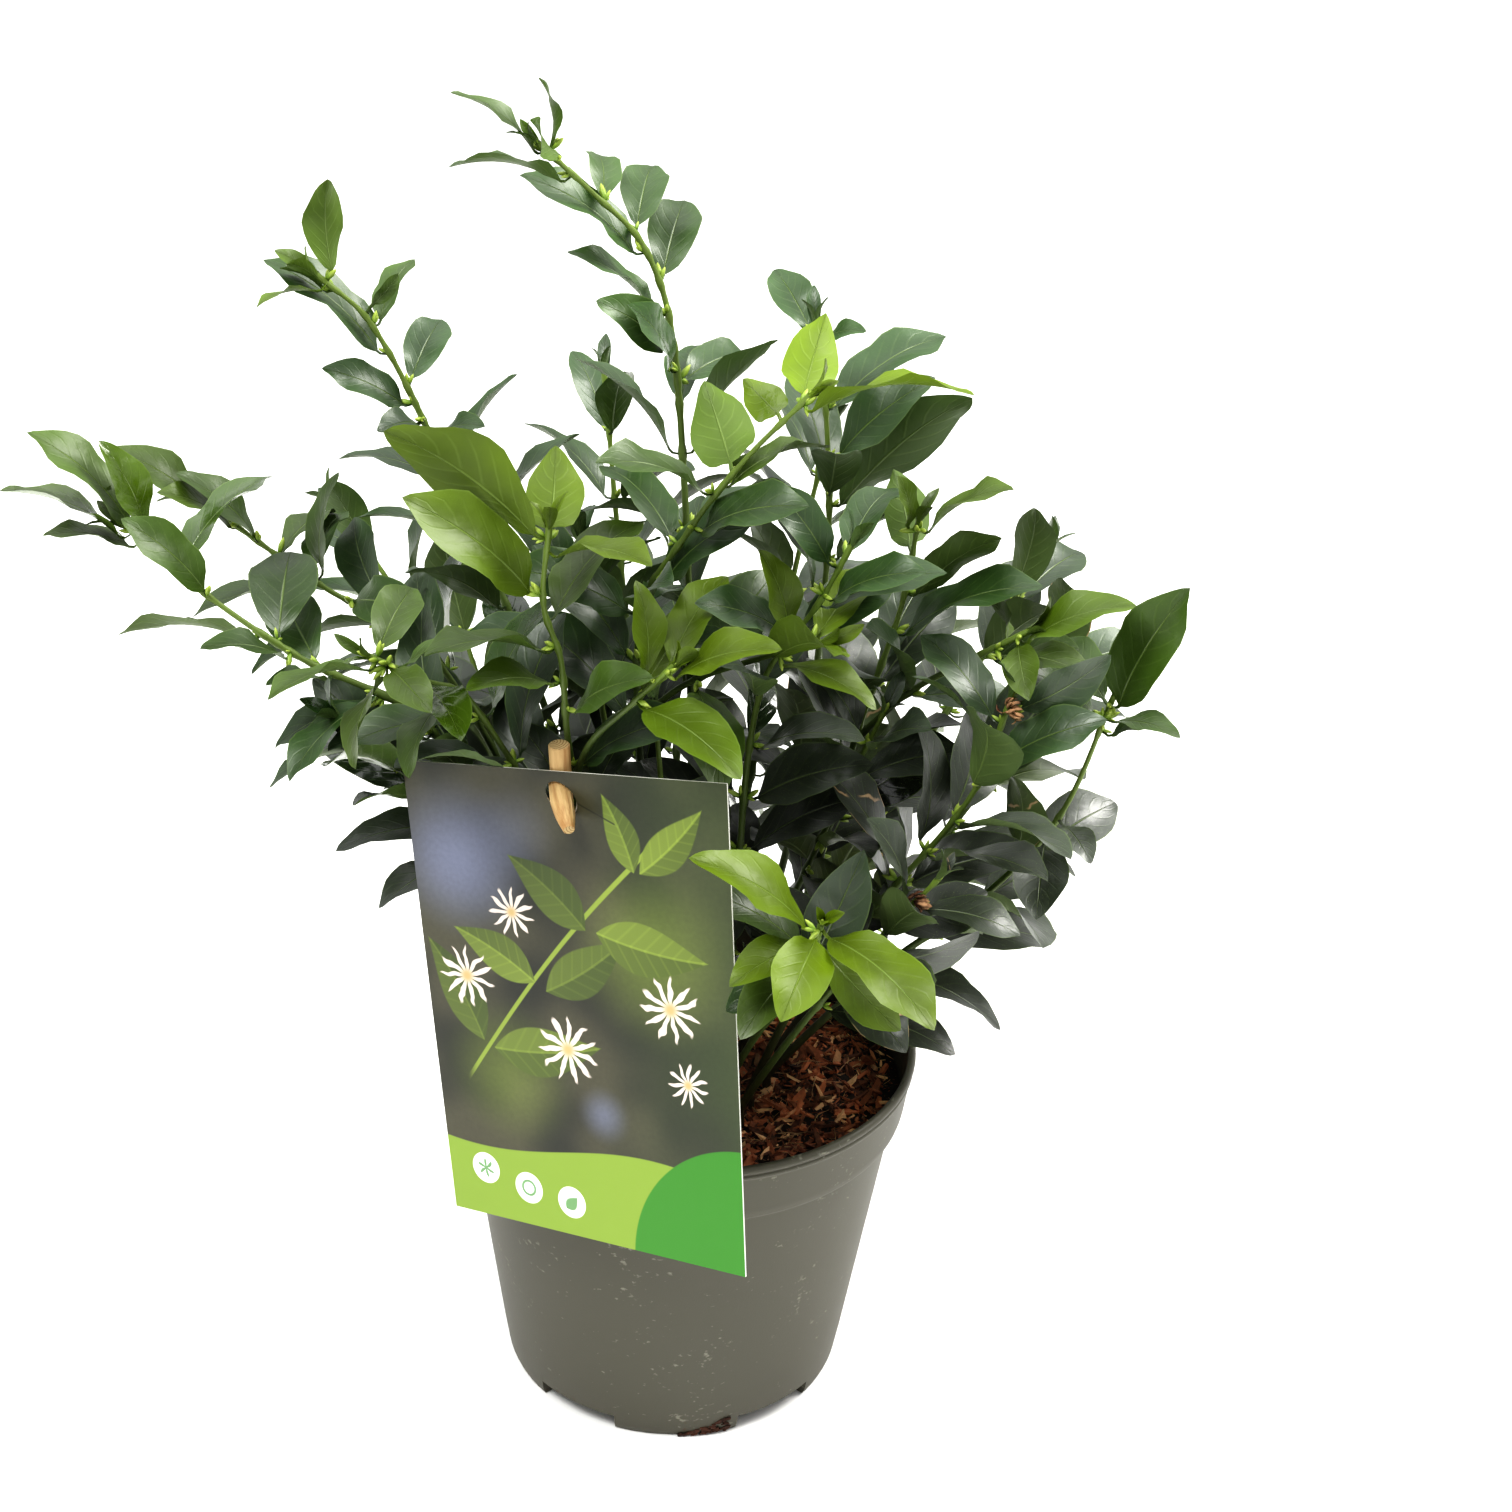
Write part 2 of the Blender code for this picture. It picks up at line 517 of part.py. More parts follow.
def make_card():
    """The label card, a thin sheet with a slight twist and a hole for the peg."""
    columns, rows = 3, 6
    points = []
    for side in (0.5, -0.5):
        for row in range(rows):
            down = CARD_HEIGHT * row / (rows - 1)
            out = card_axes(row / (rows - 1))[2]
            for column in range(columns):
                across = CARD_WIDTH * (column / (columns - 1) - 0.5)
                points.append(card_point(across, down) + out * CARD_THICKNESS * side)
    faces = []
    back = columns * rows
    for row in range(rows - 1):
        for column in range(columns - 1):
            a = row * columns + column
            b, c, d = a + 1, a + columns + 1, a + columns
            faces += [(a, d, c), (a, c, b)]
            faces += [(back + a, back + c, back + d), (back + a, back + b, back + c)]
    edge = list(range(columns - 1))
    edge += [row * columns + columns - 1 for row in range(rows - 1)]
    edge += [columns * rows - 1 - k for k in range(columns - 1)]
    edge += [row * columns for row in range(rows - 1, 0, -1)]
    for here, there in zip(edge, edge[1:] + edge[:1]):
        faces += [(here, there, back + there), (here, back + there, back + here)]
    card = solid("label_card", points, faces, "card")
    middle = card_point(PEG_ACROSS, PEG_DOWN)
    room_for_peg = hole("peg_hole", middle - PEG_WAY * CUT_PAST, middle + PEG_WAY * CUT_PAST,
                        PEG_HOLE_RADIUS, PEG_SIDES)
    boolean(card, [room_for_peg], "DIFFERENCE")
    return card


def stake_line():
    """The stake's foot in the compost, its top above the card's edge, and its direction."""
    behind = CARD_THICKNESS / 2.0 + STAKE_RADIUS + 2.0 * TOUCH_GAP
    beside_edge = card_point(STAKE_ACROSS, 0.0) - card_axes(0.0)[2] * behind
    along = (beside_edge - STAKE_ROOT).normalized()
    return STAKE_ROOT, beside_edge + along * STAKE_ABOVE_CARD, along


def make_stake():
    """The stake, a round wooden rod."""
    foot, top, _ = stake_line()
    return rod("label_stake", [foot, top], (STAKE_RADIUS, STAKE_RADIUS), STAKE_SIDES, "wood")


def make_peg():
    """The peg: it pokes out of the card in a taper, and its other end is cut to sit on the stake."""
    middle = card_point(PEG_ACROSS, PEG_DOWN)
    ends = [middle + PEG_WAY * distance for distance, _ in PEG_RINGS]
    peg = rod("label_peg", ends, [radius for _, radius in PEG_RINGS], PEG_SIDES, "wood")
    foot, top, along = stake_line()
    seat = hole("seat", foot, top + along * CUT_PAST, STAKE_RADIUS + TOUCH_GAP, STAKE_SIDES)
    boolean(peg, [seat], "DIFFERENCE")
    shade(peg)
    return peg


def shade(made):
    """Smooth shading but for real edges."""
    made.data.shade_smooth()
    made.data.set_sharp_from_angle(angle=math.radians(32.0))


def smooth_route(route, per_span=10):
    """A smooth curve through the route's points, with no overshoot where they lie unevenly."""
    knots = [Vector(point) for point in route]
    last = len(knots) - 1
    slopes = []
    for i in range(last + 1):
        low, high = max(i - 1, 0), min(i + 1, last)
        run = sum((knots[k + 1] - knots[k]).length for k in range(low, high))
        slopes.append((knots[high] - knots[low]) / run)
    points = []
    for i in range(last):
        here, there = knots[i], knots[i + 1]
        span = (there - here).length
        for step in range(per_span):
            t = step / per_span
            ease = t * t * (3.0 - 2.0 * t)
            leave = t * (1.0 - t) ** 2 * span
            arrive = t * t * (1.0 - t) * span
            points.append(here.lerp(there, ease) + slopes[i] * leave - slopes[i + 1] * arrive)
    return points + [knots[-1]]


class Path:
    """A shoot's centre line, read by the distance along it."""

    def __init__(self, route):
        self.points = smooth_route(route)
        self.marks = [0.0]
        for here, there in zip(self.points, self.points[1:]):
            self.marks.append(self.marks[-1] + (there - here).length)
        self.length = self.marks[-1]

    def at(self, distance):
        """The point and direction at a distance from the root."""
        distance = min(max(distance, 0.0), self.length)
        i = 0
        while i < len(self.marks) - 2 and self.marks[i + 1] < distance:
            i += 1
        share = (distance - self.marks[i]) / (self.marks[i + 1] - self.marks[i])
        step = self.points[i + 1] - self.points[i]
        return self.points[i] + step * share, step.normalized()


def leaf_axes(leaf):
    """The direction from a leaf's root to its tip and its upper side's normal."""
    turn, lean, face = (math.radians(a) for a in (leaf.turn, leaf.lean, leaf.face))
    flat = math.cos(turn) * VIEW_RIGHT + math.sin(turn) * VIEW_UP
    along = (math.cos(lean) * flat + math.sin(lean) * VIEW_TOWARD).normalized()
    side = VIEW_TOWARD.cross(along).normalized()
    if side.z < 0.0:
        side = -side
    viewer = (VIEW_TOWARD - VIEW_TOWARD.dot(along) * along).normalized()
    return along, (math.sin(face) * viewer + math.cos(face) * side).normalized()


@dataclass
class Blade:
    """A leaf as it is placed: where its root leaves the stem's centre line, its tip and normal."""

    mark: float
    root: Vector
    tip: Vector
    normal: Vector
    ratio: float
    shown: bool
    wave: float = 1.0
    petiole: Vector = None
    face: list = None

    def frame(self):
        """The blade's chord, its upper normal and the direction across it."""
        start = self.root + self.petiole
        chord = self.tip - start
        along = chord.normalized()
        normal = (self.normal - self.normal.dot(along) * along).normalized()
        return start, chord, normal, along.cross(normal)


def outline(share):
    """The blade's half width as a share of its greatest, from its base at 0 to its tip at 1."""
    fall = BASE_FULLNESS * (1.0 - WIDEST_AT) / WIDEST_AT
    shape = share ** BASE_FULLNESS * (1.0 - share) ** fall
    return shape / (WIDEST_AT ** BASE_FULLNESS * (1.0 - WIDEST_AT) ** fall)


def blade_sections(blade, fat=0.0):
    """The loops of four points round a blade, top, right, bottom and left, and its tip."""
    start, chord, normal, across = blade.frame()
    length = chord.length
    half = blade.ratio * length / 2.0
    loops = []
    for i, share in enumerate(SHOWN_STATIONS if blade.shown else FILL_STATIONS):
        rise = ARCH * length * 4.0 * share * (1.0 - share)
        middle = start + chord * share + normal * rise
        wide = max(half * outline(share), PETIOLE_HALF_WIDTH) + fat
        thick = BLADE_THICKNESS / 2.0 + fat
        lift = FOLD * wide if share else 0.0
        ripple = WAVE * length * blade.wave * (-1.0) ** i if share else 0.0
        loops.append([
            middle + normal * thick,
            middle + across * wide + normal * (lift + ripple),
            middle - normal * thick,
            middle - across * wide + normal * (lift - ripple),
        ])
    return loops, blade.tip


def skin(loops, tip, points, faces, first=None):
    """Adds the faces of a blade to points and faces, alike on its upper and lower side. The
    blade starts at the face `first`, or is left open there."""
    below = first
    for loop in loops:
        here = list(range(len(points), len(points) + 4))
        points.extend(loop)
        if below is not None:
            for k in range(4):
                after = (k + 1) % 4
                if k % 2 == 0:
                    faces.append((below[k], below[after], here[k]))
                    faces.append((below[after], here[after], here[k]))
                else:
                    faces.append((below[k], below[after], here[after]))
                    faces.append((below[k], here[after], here[k]))
        below = here
    points.append(tip)
    for k in range(4):
        faces.append((below[k], below[(k + 1) % 4], len(points) - 1))


def tree_of(points, faces):
    """A search tree of a shape, with its box."""
    low = Vector(min(p[k] for p in points) for k in range(3))
    high = Vector(max(p[k] for p in points) for k in range(3))
    return BVHTree.FromPolygons(points, faces), low, high


class Room:
    """The shapes that are placed so far, and the test that a new one is clear of them."""

    def __init__(self):
        self.shapes = []

    def add(self, points, faces):
        """Takes up a shape's place."""
        self.shapes.append(tree_of(points, faces))

    def add_object(self, made):
        """Takes up an object's place."""
        points = [vertex.co / MM for vertex in made.data.vertices]
        self.add(points, [tuple(face.vertices) for face in made.data.polygons])

    def clear(self, points, faces):
        """Whether a shape crosses neither itself nor a placed one."""
        tree, low, high = tree_of(points, faces)
        if any(not set(faces[a]) & set(faces[b]) for a, b in tree.overlap(tree) if a < b):
            return False
        for other, other_low, other_high in self.shapes:
            if all(low[k] <= other_high[k] and high[k] >= other_low[k] for k in range(3)):
                if tree.overlap(other):
                    return False
        return True


def blade_shape(blade, stem_points, fat):
    """A leaf as a closed shape of its own, from just off the stem's face to its tip."""
    loops, tip = blade_sections(blade, fat)
    root = [stem_points[v] for v in blade.face]
    middle = sum(root, Vector()) / 4.0
    off = blade.petiole.normalized() * ROOT_CLEAR
    loops.insert(0, [point + off + (point - middle) * fat * ROOT_FAT for point in root])
    points = []
    faces = []
    skin(loops, tip, points, faces)
    faces += [(0, 2, 1), (0, 3, 2)]
    return points, faces


def root_face(blade, band, stem_points):
    """The face of the stem that the leaf grows from, its corners in the order of the blade's,
    and how squarely the leaf leaves it."""
    middles = [sum((stem_points[v] for v in face), Vector()) / 4.0 for face in band]
    facing = [(middle - blade.root).normalized().dot(blade.petiole) for middle in middles]
    face = band[facing.index(max(facing))]
    first = blade_sections(blade)[0][0]
    turns = [face[k:] + face[:k] for k in range(4)]
    corners = min(turns, key=lambda turn: sum((stem_points[v] - p).length for v, p in zip(turn, first)))
    return corners, max(facing) / blade.petiole.length


def set_petiole(blade, along):
    """Leads the petiole out sideways from the stem and then towards the blade's tip."""
    way = (blade.tip - blade.root).normalized()
    side = way - way.dot(along) * along
    if side.length < 0.1:
        side = blade.normal - blade.normal.dot(along) * along
    blade.petiole = side.normalized() * PETIOLE_OUT + way * (PETIOLE - PETIOLE_OUT)


def place(blade, along, band, stem_points, room, rng):
    """Moves a blade by growing random steps until it is clear, and takes its face of the stem."""
    first_tip, first_normal = blade.tip.copy(), blade.normal.copy()
    tries = SHOWN_TRIES if blade.shown else FILL_TRIES
    for attempt in range(tries):
        reach = (first_tip - blade.root) * (1.0 - MOST_SHORTENED * attempt / tries)
        spread = MOST_ROLLED * attempt / tries
        jolt = Vector(rng.uniform(-1.0, 1.0) for _ in range(3))
        roll = Vector(rng.uniform(-1.0, 1.0) for _ in range(3))
        way = (reach.normalized() + jolt * spread * TURNED_PER_ROLL).normalized()
        blade.tip = blade.root + way * reach.length
        blade.normal = (first_normal + roll * spread).normalized()
        set_petiole(blade, along)
        blade.face, squareness = root_face(blade, band, stem_points)
        bend = (blade.tip - blade.root - blade.petiole).normalized().dot(blade.petiole.normalized())
        if min(bend, squareness) <= SHARPEST_BEND:
            continue
        if room.clear(*blade_shape(blade, stem_points, LEAF_GAP / 2.0)):
            room.add(*blade_shape(blade, stem_points, 0.0))
            band.remove(next(face for face in band if set(face) == set(blade.face)))
            return True
    return False


def shown_blades(shoot, path):
    """The leaves that the front view shows, their tips where it shows them."""
    blades = []
    for k, leaf in enumerate(shoot.leaves):
        mark = leaf.at * path.length
        root, _ = path.at(mark)
        along, normal = leaf_axes(leaf)
        tip = root + along * leaf.length
        blades.append(Blade(mark, root, tip, normal, leaf.ratio, True, (-1.0) ** k))
    return blades


def fill_blades(shoot, path, rng):
    """The further leaves, in pairs set round the shoot by the golden turn."""
    blades = []
    start = rng.uniform(0.0, 360.0)
    nodes = math.ceil(shoot.fill / 2)
    for k in range(shoot.fill):
        share = shoot.bare + (shoot.full - shoot.bare) * (k // 2 + 0.5) / nodes
        mark = share * path.length
        root, along = path.at(mark)
        turn = start + GOLDEN_TURN * (k // 2) + 180.0 * (k % 2)
        turn = math.radians(turn + rng.uniform(-FILL_TURN_SPREAD, FILL_TURN_SPREAD))
        across = along.orthogonal().normalized()
        out = math.cos(turn) * across + math.sin(turn) * along.cross(across)
        spread = math.radians(rng.uniform(*FILL_ANGLE) - FILL_ANGLE_CLOSING * share)
        way = out * math.sin(spread) + along * math.cos(spread)
        way.z -= rng.uniform(*FILL_DROOP)
        way.normalize()
        outward = Vector((root.x, root.y, 0.0)).normalized()
        up = along * 0.5 + Vector((0.0, 0.0, 0.75)) + outward * 0.4
        normal = (up - up.dot(way) * way).normalized()
        near_tip = max(share - FILL_TIP_FROM, 0.0) / (1.0 - FILL_TIP_FROM)
        length = LEAF_LENGTH * rng.uniform(*FILL_LENGTH) * (1.0 - FILL_TIP_SHORTER * near_tip)
        ratio = WIDTH_RATIO * rng.uniform(*FILL_WIDTH)
        wave = rng.choice((-1.0, 1.0))
        blades.append(Blade(mark, root, root + way * length, normal, ratio, False, wave))
    return blades


def space_out(blades, path):
    """Gathers leaves that sit close into pairs, and gives each single leaf or pair its own node."""
    node = path.length + 1.0
    crowd = 2
    for blade in sorted(blades, key=lambda b: -b.mark):
        if crowd < 2 and node - blade.mark < PAIR_REACH:
            crowd += 1
        else:
            node = min(blade.mark, node - NODE_STEP)
            crowd = 1
        blade.mark = node
        blade.root = path.at(node)[0]


def stem_rings(blades, path, first):
    """The distances of a stem's rings: one below and one above each node, shared where close."""
    rings = [0.0, first]
    before = None
    for mark in sorted({blade.mark for blade in blades}):
        if before is not None and mark - before < 4.0 * NODE_HALF:
            rings[-1] = (mark + before) / 2.0
        else:
            rings.append(mark - NODE_HALF)
        rings.append(mark + NODE_HALF)
        before = mark
    full = [rings[0]]
    for ring in rings[1:]:
        gap = ring - full[-1]
        parts = math.ceil(gap / RING_STEP)
        full += [full[-1] + gap * k / parts for k in range(1, parts)]
        full.append(ring)
    return full


def tube(path, rings, radius):
    """The points of a stem round its centre line, its bands of faces ring by ring, and its tip."""
    points = []
    bands = []
    across = None
    for i, ring in enumerate(rings):
        centre, along = path.at(ring)
        across = along.orthogonal() if across is None else across - across.dot(along) * along
        across.normalize()
        other = along.cross(across)
        thick = radius + (STEM_TIP_RADIUS - radius) * ring / path.length
        for k in range(STEM_SIDES):
            angle = math.tau * k / STEM_SIDES
            points.append(centre + thick * (math.cos(angle) * across + math.sin(angle) * other))
        if i:
            low = (i - 1) * STEM_SIDES
            sides = [(low + k, low + (k + 1) % STEM_SIDES) for k in range(STEM_SIDES)]
            bands.append([[a, b, b + STEM_SIDES, a + STEM_SIDES] for a, b in sides])
    last = len(points) - STEM_SIDES
    end, along = path.at(path.length)
    points.append(end + along * NODE_HALF)
    tip = [(last + k, last + (k + 1) % STEM_SIDES, len(points) - 1) for k in range(STEM_SIDES)]
    return points, bands, tip


def grow(name, plan):
    """A shoot and its leaves as one closed skin: each leaf is drawn out of a face of the stem."""
    points = list(plan.points)
    faces = [tuple(reversed(range(STEM_SIDES))), *plan.tip]
    faces += [tuple(side) for band in plan.bands for side in band]
    for blade in plan.kept:
        skin(*blade_sections(blade), points, faces, blade.face)
    return solid(name, points, faces, "leaf")


@dataclass
class Plan:
    """A shoot as it is laid out: its rings, skin, the leaves to place and those that found room."""

    path: Path
    rings: list
    points: list
    bands: list
    tip: list
    blades: list
    kept: list = field(default_factory=list)


def lay_out(room):
    """Lays out every shoot, then places its leaves, first those that the front view shows."""
    rng = random.Random(SEED)
    plans = {}
    for name, stem in STEMS.items():
        for index, shoot in enumerate([stem] + stem.side_shoots):
            path = Path(shoot.route)
            blades = shown_blades(shoot, path) + fill_blades(shoot, path, rng)
            space_out(blades, path)
            rings = stem_rings(blades, path, SHOOT_SUNK if index else ROOT_DEPTH + ROOT_RING)
            points, bands, tip = tube(path, rings, shoot.radius)
            room.add(points, tip + [side for band in bands[1:] for side in band])
            plans[name, index] = Plan(path, rings, points, bands, tip, blades)
    for shown in (True, False):
        for plan in plans.values():
            for blade in plan.blades:
                if blade.shown is not shown:
                    continue
                band = plan.bands[max(i for i, ring in enumerate(plan.rings) if ring < blade.mark)]
                if place(blade, plan.path.at(blade.mark)[1], band, plan.points, room, rng):
                    plan.kept.append(blade)
    return plans


def make_stems(room):
    """Every leafy stem as one object, its side shoots sunk into it and joined."""
    plans = lay_out(room)
    for name, stem in STEMS.items():
        made = grow(name, plans[name, 0])
        shoots = range(1, 1 + len(stem.side_shoots))
        if shoots:
            boolean(made, [grow(f"{name}_{index}", plans[name, index]) for index in shoots], "UNION")
        shade(made)


def main():
    """Builds the part."""
    clear_scene()
    room = Room()
    for make in (make_pot, make_card, make_peg, make_stake):
        room.add_object(make())
    holes = []
    for name, stem in STEMS.items():
        foot = Vector(stem.route[0])
        low = foot - Vector((0.0, 0.0, HOLE_GAP))
        high = foot + Vector((0.0, 0.0, ROOT_DEPTH + CUT_PAST))
        holes.append(hole(name + "_hole", low, high, STEM_RADIUS + HOLE_GAP, HOLE_SIDES))
    foot, top, along = stake_line()
    holes.append(hole("stake_hole", foot - along * HOLE_GAP, top, STAKE_RADIUS + HOLE_GAP, STAKE_SIDES))
    room.add_object(make_soil(holes))
    make_stems(room)


main()
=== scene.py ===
"""The looks of a potted sweet box: glossy leaves on green stems, a nursery pot filled with bark
compost, and a picture label on a wooden stake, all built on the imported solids."""

import json
import logging
import math
import random
from collections.abc import Callable
from dataclasses import dataclass, field
from enum import Enum

import bmesh
import bpy
from mathutils import Matrix, Vector, noise
from mathutils.bvhtree import BVHTree

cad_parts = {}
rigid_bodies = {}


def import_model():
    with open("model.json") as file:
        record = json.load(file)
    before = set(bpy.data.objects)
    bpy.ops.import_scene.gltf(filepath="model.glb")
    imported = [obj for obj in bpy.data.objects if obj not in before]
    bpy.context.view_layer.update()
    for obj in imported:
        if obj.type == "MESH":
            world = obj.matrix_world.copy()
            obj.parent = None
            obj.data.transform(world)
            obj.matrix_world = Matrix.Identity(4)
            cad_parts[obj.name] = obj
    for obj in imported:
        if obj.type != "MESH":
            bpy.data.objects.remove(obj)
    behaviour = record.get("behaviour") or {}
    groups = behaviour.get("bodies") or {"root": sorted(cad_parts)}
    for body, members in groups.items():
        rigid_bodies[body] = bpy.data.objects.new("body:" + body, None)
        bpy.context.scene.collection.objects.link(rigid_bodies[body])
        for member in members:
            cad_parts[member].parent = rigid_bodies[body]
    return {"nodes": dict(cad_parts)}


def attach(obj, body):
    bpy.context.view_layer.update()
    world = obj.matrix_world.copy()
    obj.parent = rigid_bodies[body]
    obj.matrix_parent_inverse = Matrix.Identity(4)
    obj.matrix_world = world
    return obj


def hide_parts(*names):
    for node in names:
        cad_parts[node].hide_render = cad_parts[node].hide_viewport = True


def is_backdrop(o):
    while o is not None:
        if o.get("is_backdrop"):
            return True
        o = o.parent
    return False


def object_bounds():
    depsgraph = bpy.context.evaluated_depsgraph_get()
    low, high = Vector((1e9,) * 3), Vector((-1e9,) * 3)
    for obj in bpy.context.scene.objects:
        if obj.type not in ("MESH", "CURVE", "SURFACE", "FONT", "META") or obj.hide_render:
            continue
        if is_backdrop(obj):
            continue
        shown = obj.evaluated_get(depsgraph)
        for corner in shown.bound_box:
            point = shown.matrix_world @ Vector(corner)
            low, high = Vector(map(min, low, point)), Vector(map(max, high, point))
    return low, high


log = logging.getLogger("sweet_box")

MM = 0.001
BODY = "root"
SEED = 7
Colour = tuple[float, float, float]
Point = tuple[float, float, float]
Object = bpy.types.Object
Material = bpy.types.Material
PLAIN = (1.0, 1.0, 1.0)
ORIGIN = (0.0, 0.0, 0.0)
UP = (0.0, 0.0, 1.0)


class Slot(Enum):
    """The record's material slots."""

    POT = "pot"
    SOIL = "soil"
    LEAF = "leaf"
    CARD = "card"
    WOOD = "wood"


def srgb(red: int, green: int, blue: int) -> Colour:
    """A display colour of 0 to 255 as linear shares."""
    shares = [c / 255.0 for c in (red, green, blue)]
    return tuple(s / 12.92 if s <= 0.04045 else ((s + 0.055) / 1.055) ** 2.4 for s in shares)


def ramp(value: float, start: float, end: float) -> float:
    """How far a value is on its way from start to end, from 0 to 1."""
    return min(max((value - start) / (end - start), 0.0), 1.0)


# Node trees


def sums(operation: str, flipped: bool = False) -> Callable[["Wire", "Term"], "Wire"]:
    """A method of Wire that does a sum with another term.

    Args:
        operation: The sum's name.
        flipped: Whether the other term comes first.

    Returns:
        The method.
    """

    def method(wire: "Wire", other: "Term") -> "Wire":
        """The sum of the wire and the other term."""
        return wire.graph.maths(operation, *((other, wire) if flipped else (wire, other)))

    return method


class Wire:
    """An output socket that does sums: each sum adds a maths node to its tree."""

    def __init__(self, graph: "Graph", socket: bpy.types.NodeSocket) -> None:
        """Holds a socket of a graph."""
        self.graph = graph
        self.socket = socket

    def __abs__(self) -> "Wire":
        """This without its sign."""
        return self.graph.maths("ABSOLUTE", self)

    __add__ = sums("ADD")
    __radd__ = sums("ADD", True)
    __sub__ = sums("SUBTRACT")
    __rsub__ = sums("SUBTRACT", True)
    __mul__ = sums("MULTIPLY")
    __rmul__ = sums("MULTIPLY", True)
    __truediv__ = sums("DIVIDE")
    __pow__ = sums("POWER")

    @property
    def many(self) -> bool:
        """Whether the socket holds a vector or a colour."""
        return self.socket.type in ("VECTOR", "RGBA")


Term = Wire | float | tuple[float, float, float]


class Graph:
    """A node tree in the making."""

    def __init__(self, tree: bpy.types.NodeTree) -> None:
        """Holds the tree."""
        self.tree = tree

    def plug(self, value: object, socket: bpy.types.NodeSocket) -> None:
        """Links a wire to a socket, or sets the socket's own value.

        Args:
            value: A wire, or a value.
            socket: The socket that takes it.
        """
        if isinstance(value, Wire):
            self.tree.links.new(value.socket, socket)
        else:
            socket.default_value = value

    def add(self, kind: str, inputs: dict | None = None, **settings: object) -> bpy.types.Node:
        """Adds a node.

        Args:
            kind: The node's type.
            inputs: Values or wires by the socket's name or number.
            settings: The node's own properties.

        Returns:
            The node.
        """
        node = self.tree.nodes.new(kind)
        for name, value in settings.items():
            setattr(node, name, value)
        for name, value in (inputs or {}).items():
            self.plug(value, node.inputs[name])
        return node

    def wire(self, kind: str, inputs: dict | None = None, output: int | str = 0, **settings: object) -> Wire:
        """Adds a node as add() does, and returns one of its outputs."""
        return Wire(self, self.add(kind, inputs, **settings).outputs[output])

    def maths(self, operation: str, *values: Term) -> Wire:
        """Adds a maths node, or a vector maths node where a value is a vector.

        Args:
            operation: The sum's name, the same for numbers and vectors.
            values: Wires, numbers or vectors.

        Returns:
            The result.
        """
        many = [isinstance(v, tuple) or (isinstance(v, Wire) and v.many) for v in values]
        if not any(many):
            return self.wire("ShaderNodeMath", dict(enumerate(values)), operation=operation)
        if operation == "MULTIPLY" and not all(many):
            whole, share = values if many[0] else values[::-1]
            return self.wire("ShaderNodeVectorMath", {0: whole, "Scale": share}, operation="SCALE")
        output = "Value" if operation in ("DOT_PRODUCT", "LENGTH", "DISTANCE") else "Vector"
        return self.wire("ShaderNodeVectorMath", dict(enumerate(values)), output, operation=operation)

    def least(self, *values: Term) -> Wire:
        """The lesser of two numbers."""
        return self.maths("MINIMUM", *values)

    def most(self, *values: Term) -> Wire:
        """The greater of two numbers."""
        return self.maths("MAXIMUM", *values)

    def ease(self, value: Term, low: float, high: float) -> Wire:
        """A smooth step of a value, from 0 at low to 1 at high."""
        return self.wire("ShaderNodeMapRange", {0: value, 1: low, 2: high}, interpolation_type="SMOOTHSTEP")

    def fade(self, value: Term, low: float, high: float) -> Wire:
        """A smooth step of a value, from 1 at low to 0 at high."""
        return 1.0 - self.ease(value, low, high)

    def held(self, value: Term) -> Wire:
        """A value kept from 0 to 1."""
        return self.least(self.most(value, 0.0), 1.0)

    def mix(self, share: Term, first: object, second: object) -> Wire:
        """A blend of two colours, given as wires or as Colour.

        Args:
            share: The second colour's share.
            first: A colour.
            second: Another colour.

        Returns:
            The blend.
        """
        ends = [c if isinstance(c, Wire) else (*c, 1.0) for c in (first, second)]
        inputs = {"Factor": share, 6: ends[0], 7: ends[1]}
        return self.wire("ShaderNodeMix", inputs, 2, data_type="RGBA")

    def parts(self, vector: Wire) -> tuple[Wire, Wire, Wire]:
        """A vector's three numbers."""
        node = self.add("ShaderNodeSeparateXYZ", {0: vector})
        return tuple(Wire(self, node.outputs[k]) for k in range(3))

    def join(self, x: Term, y: Term, z: Term) -> Wire:
        """A vector of three numbers."""
        return self.wire("ShaderNodeCombineXYZ", {0: x, 1: y, 2: z})

    def noise(self, place: Wire, scale: Term, detail: float = 3.0, roughness: float = 0.5) -> Wire:
        """Noise from 0 to 1 at a place."""
        inputs = {"Vector": place, "Scale": scale, "Detail": detail, "Roughness": roughness}
        return self.wire("ShaderNodeTexNoise", inputs)


class ShaderGroup(Graph):
    """A shader node group with named sockets, for an effect that is used more than once."""

    def __init__(self, name: str, takes: dict[str, object], gives: tuple[str, ...]) -> None:
        """Makes the group's sockets.

        Args:
            name: The group's name.
            takes: The inputs' names and first values, a number or a vector.
            gives: The outputs' names, each a number.
        """
        super().__init__(bpy.data.node_groups.new(name, "ShaderNodeTree"))
        for label, value in takes.items():
            kind = "NodeSocketVector" if isinstance(value, tuple) else "NodeSocketFloat"
            self.tree.interface.new_socket(label, in_out="INPUT", socket_type=kind).default_value = value
        for label in gives:
            self.tree.interface.new_socket(label, in_out="OUTPUT", socket_type="NodeSocketFloat")
        self.source = self.add("NodeGroupInput")
        self.sink = self.add("NodeGroupOutput")

    def takes(self, label: str) -> Wire:
        """One of the group's inputs."""
        return Wire(self, self.source.outputs[label])

    def gives(self, label: str, value: Wire) -> None:
        """Feeds one of the group's outputs."""
        self.plug(value, self.sink.inputs[label])


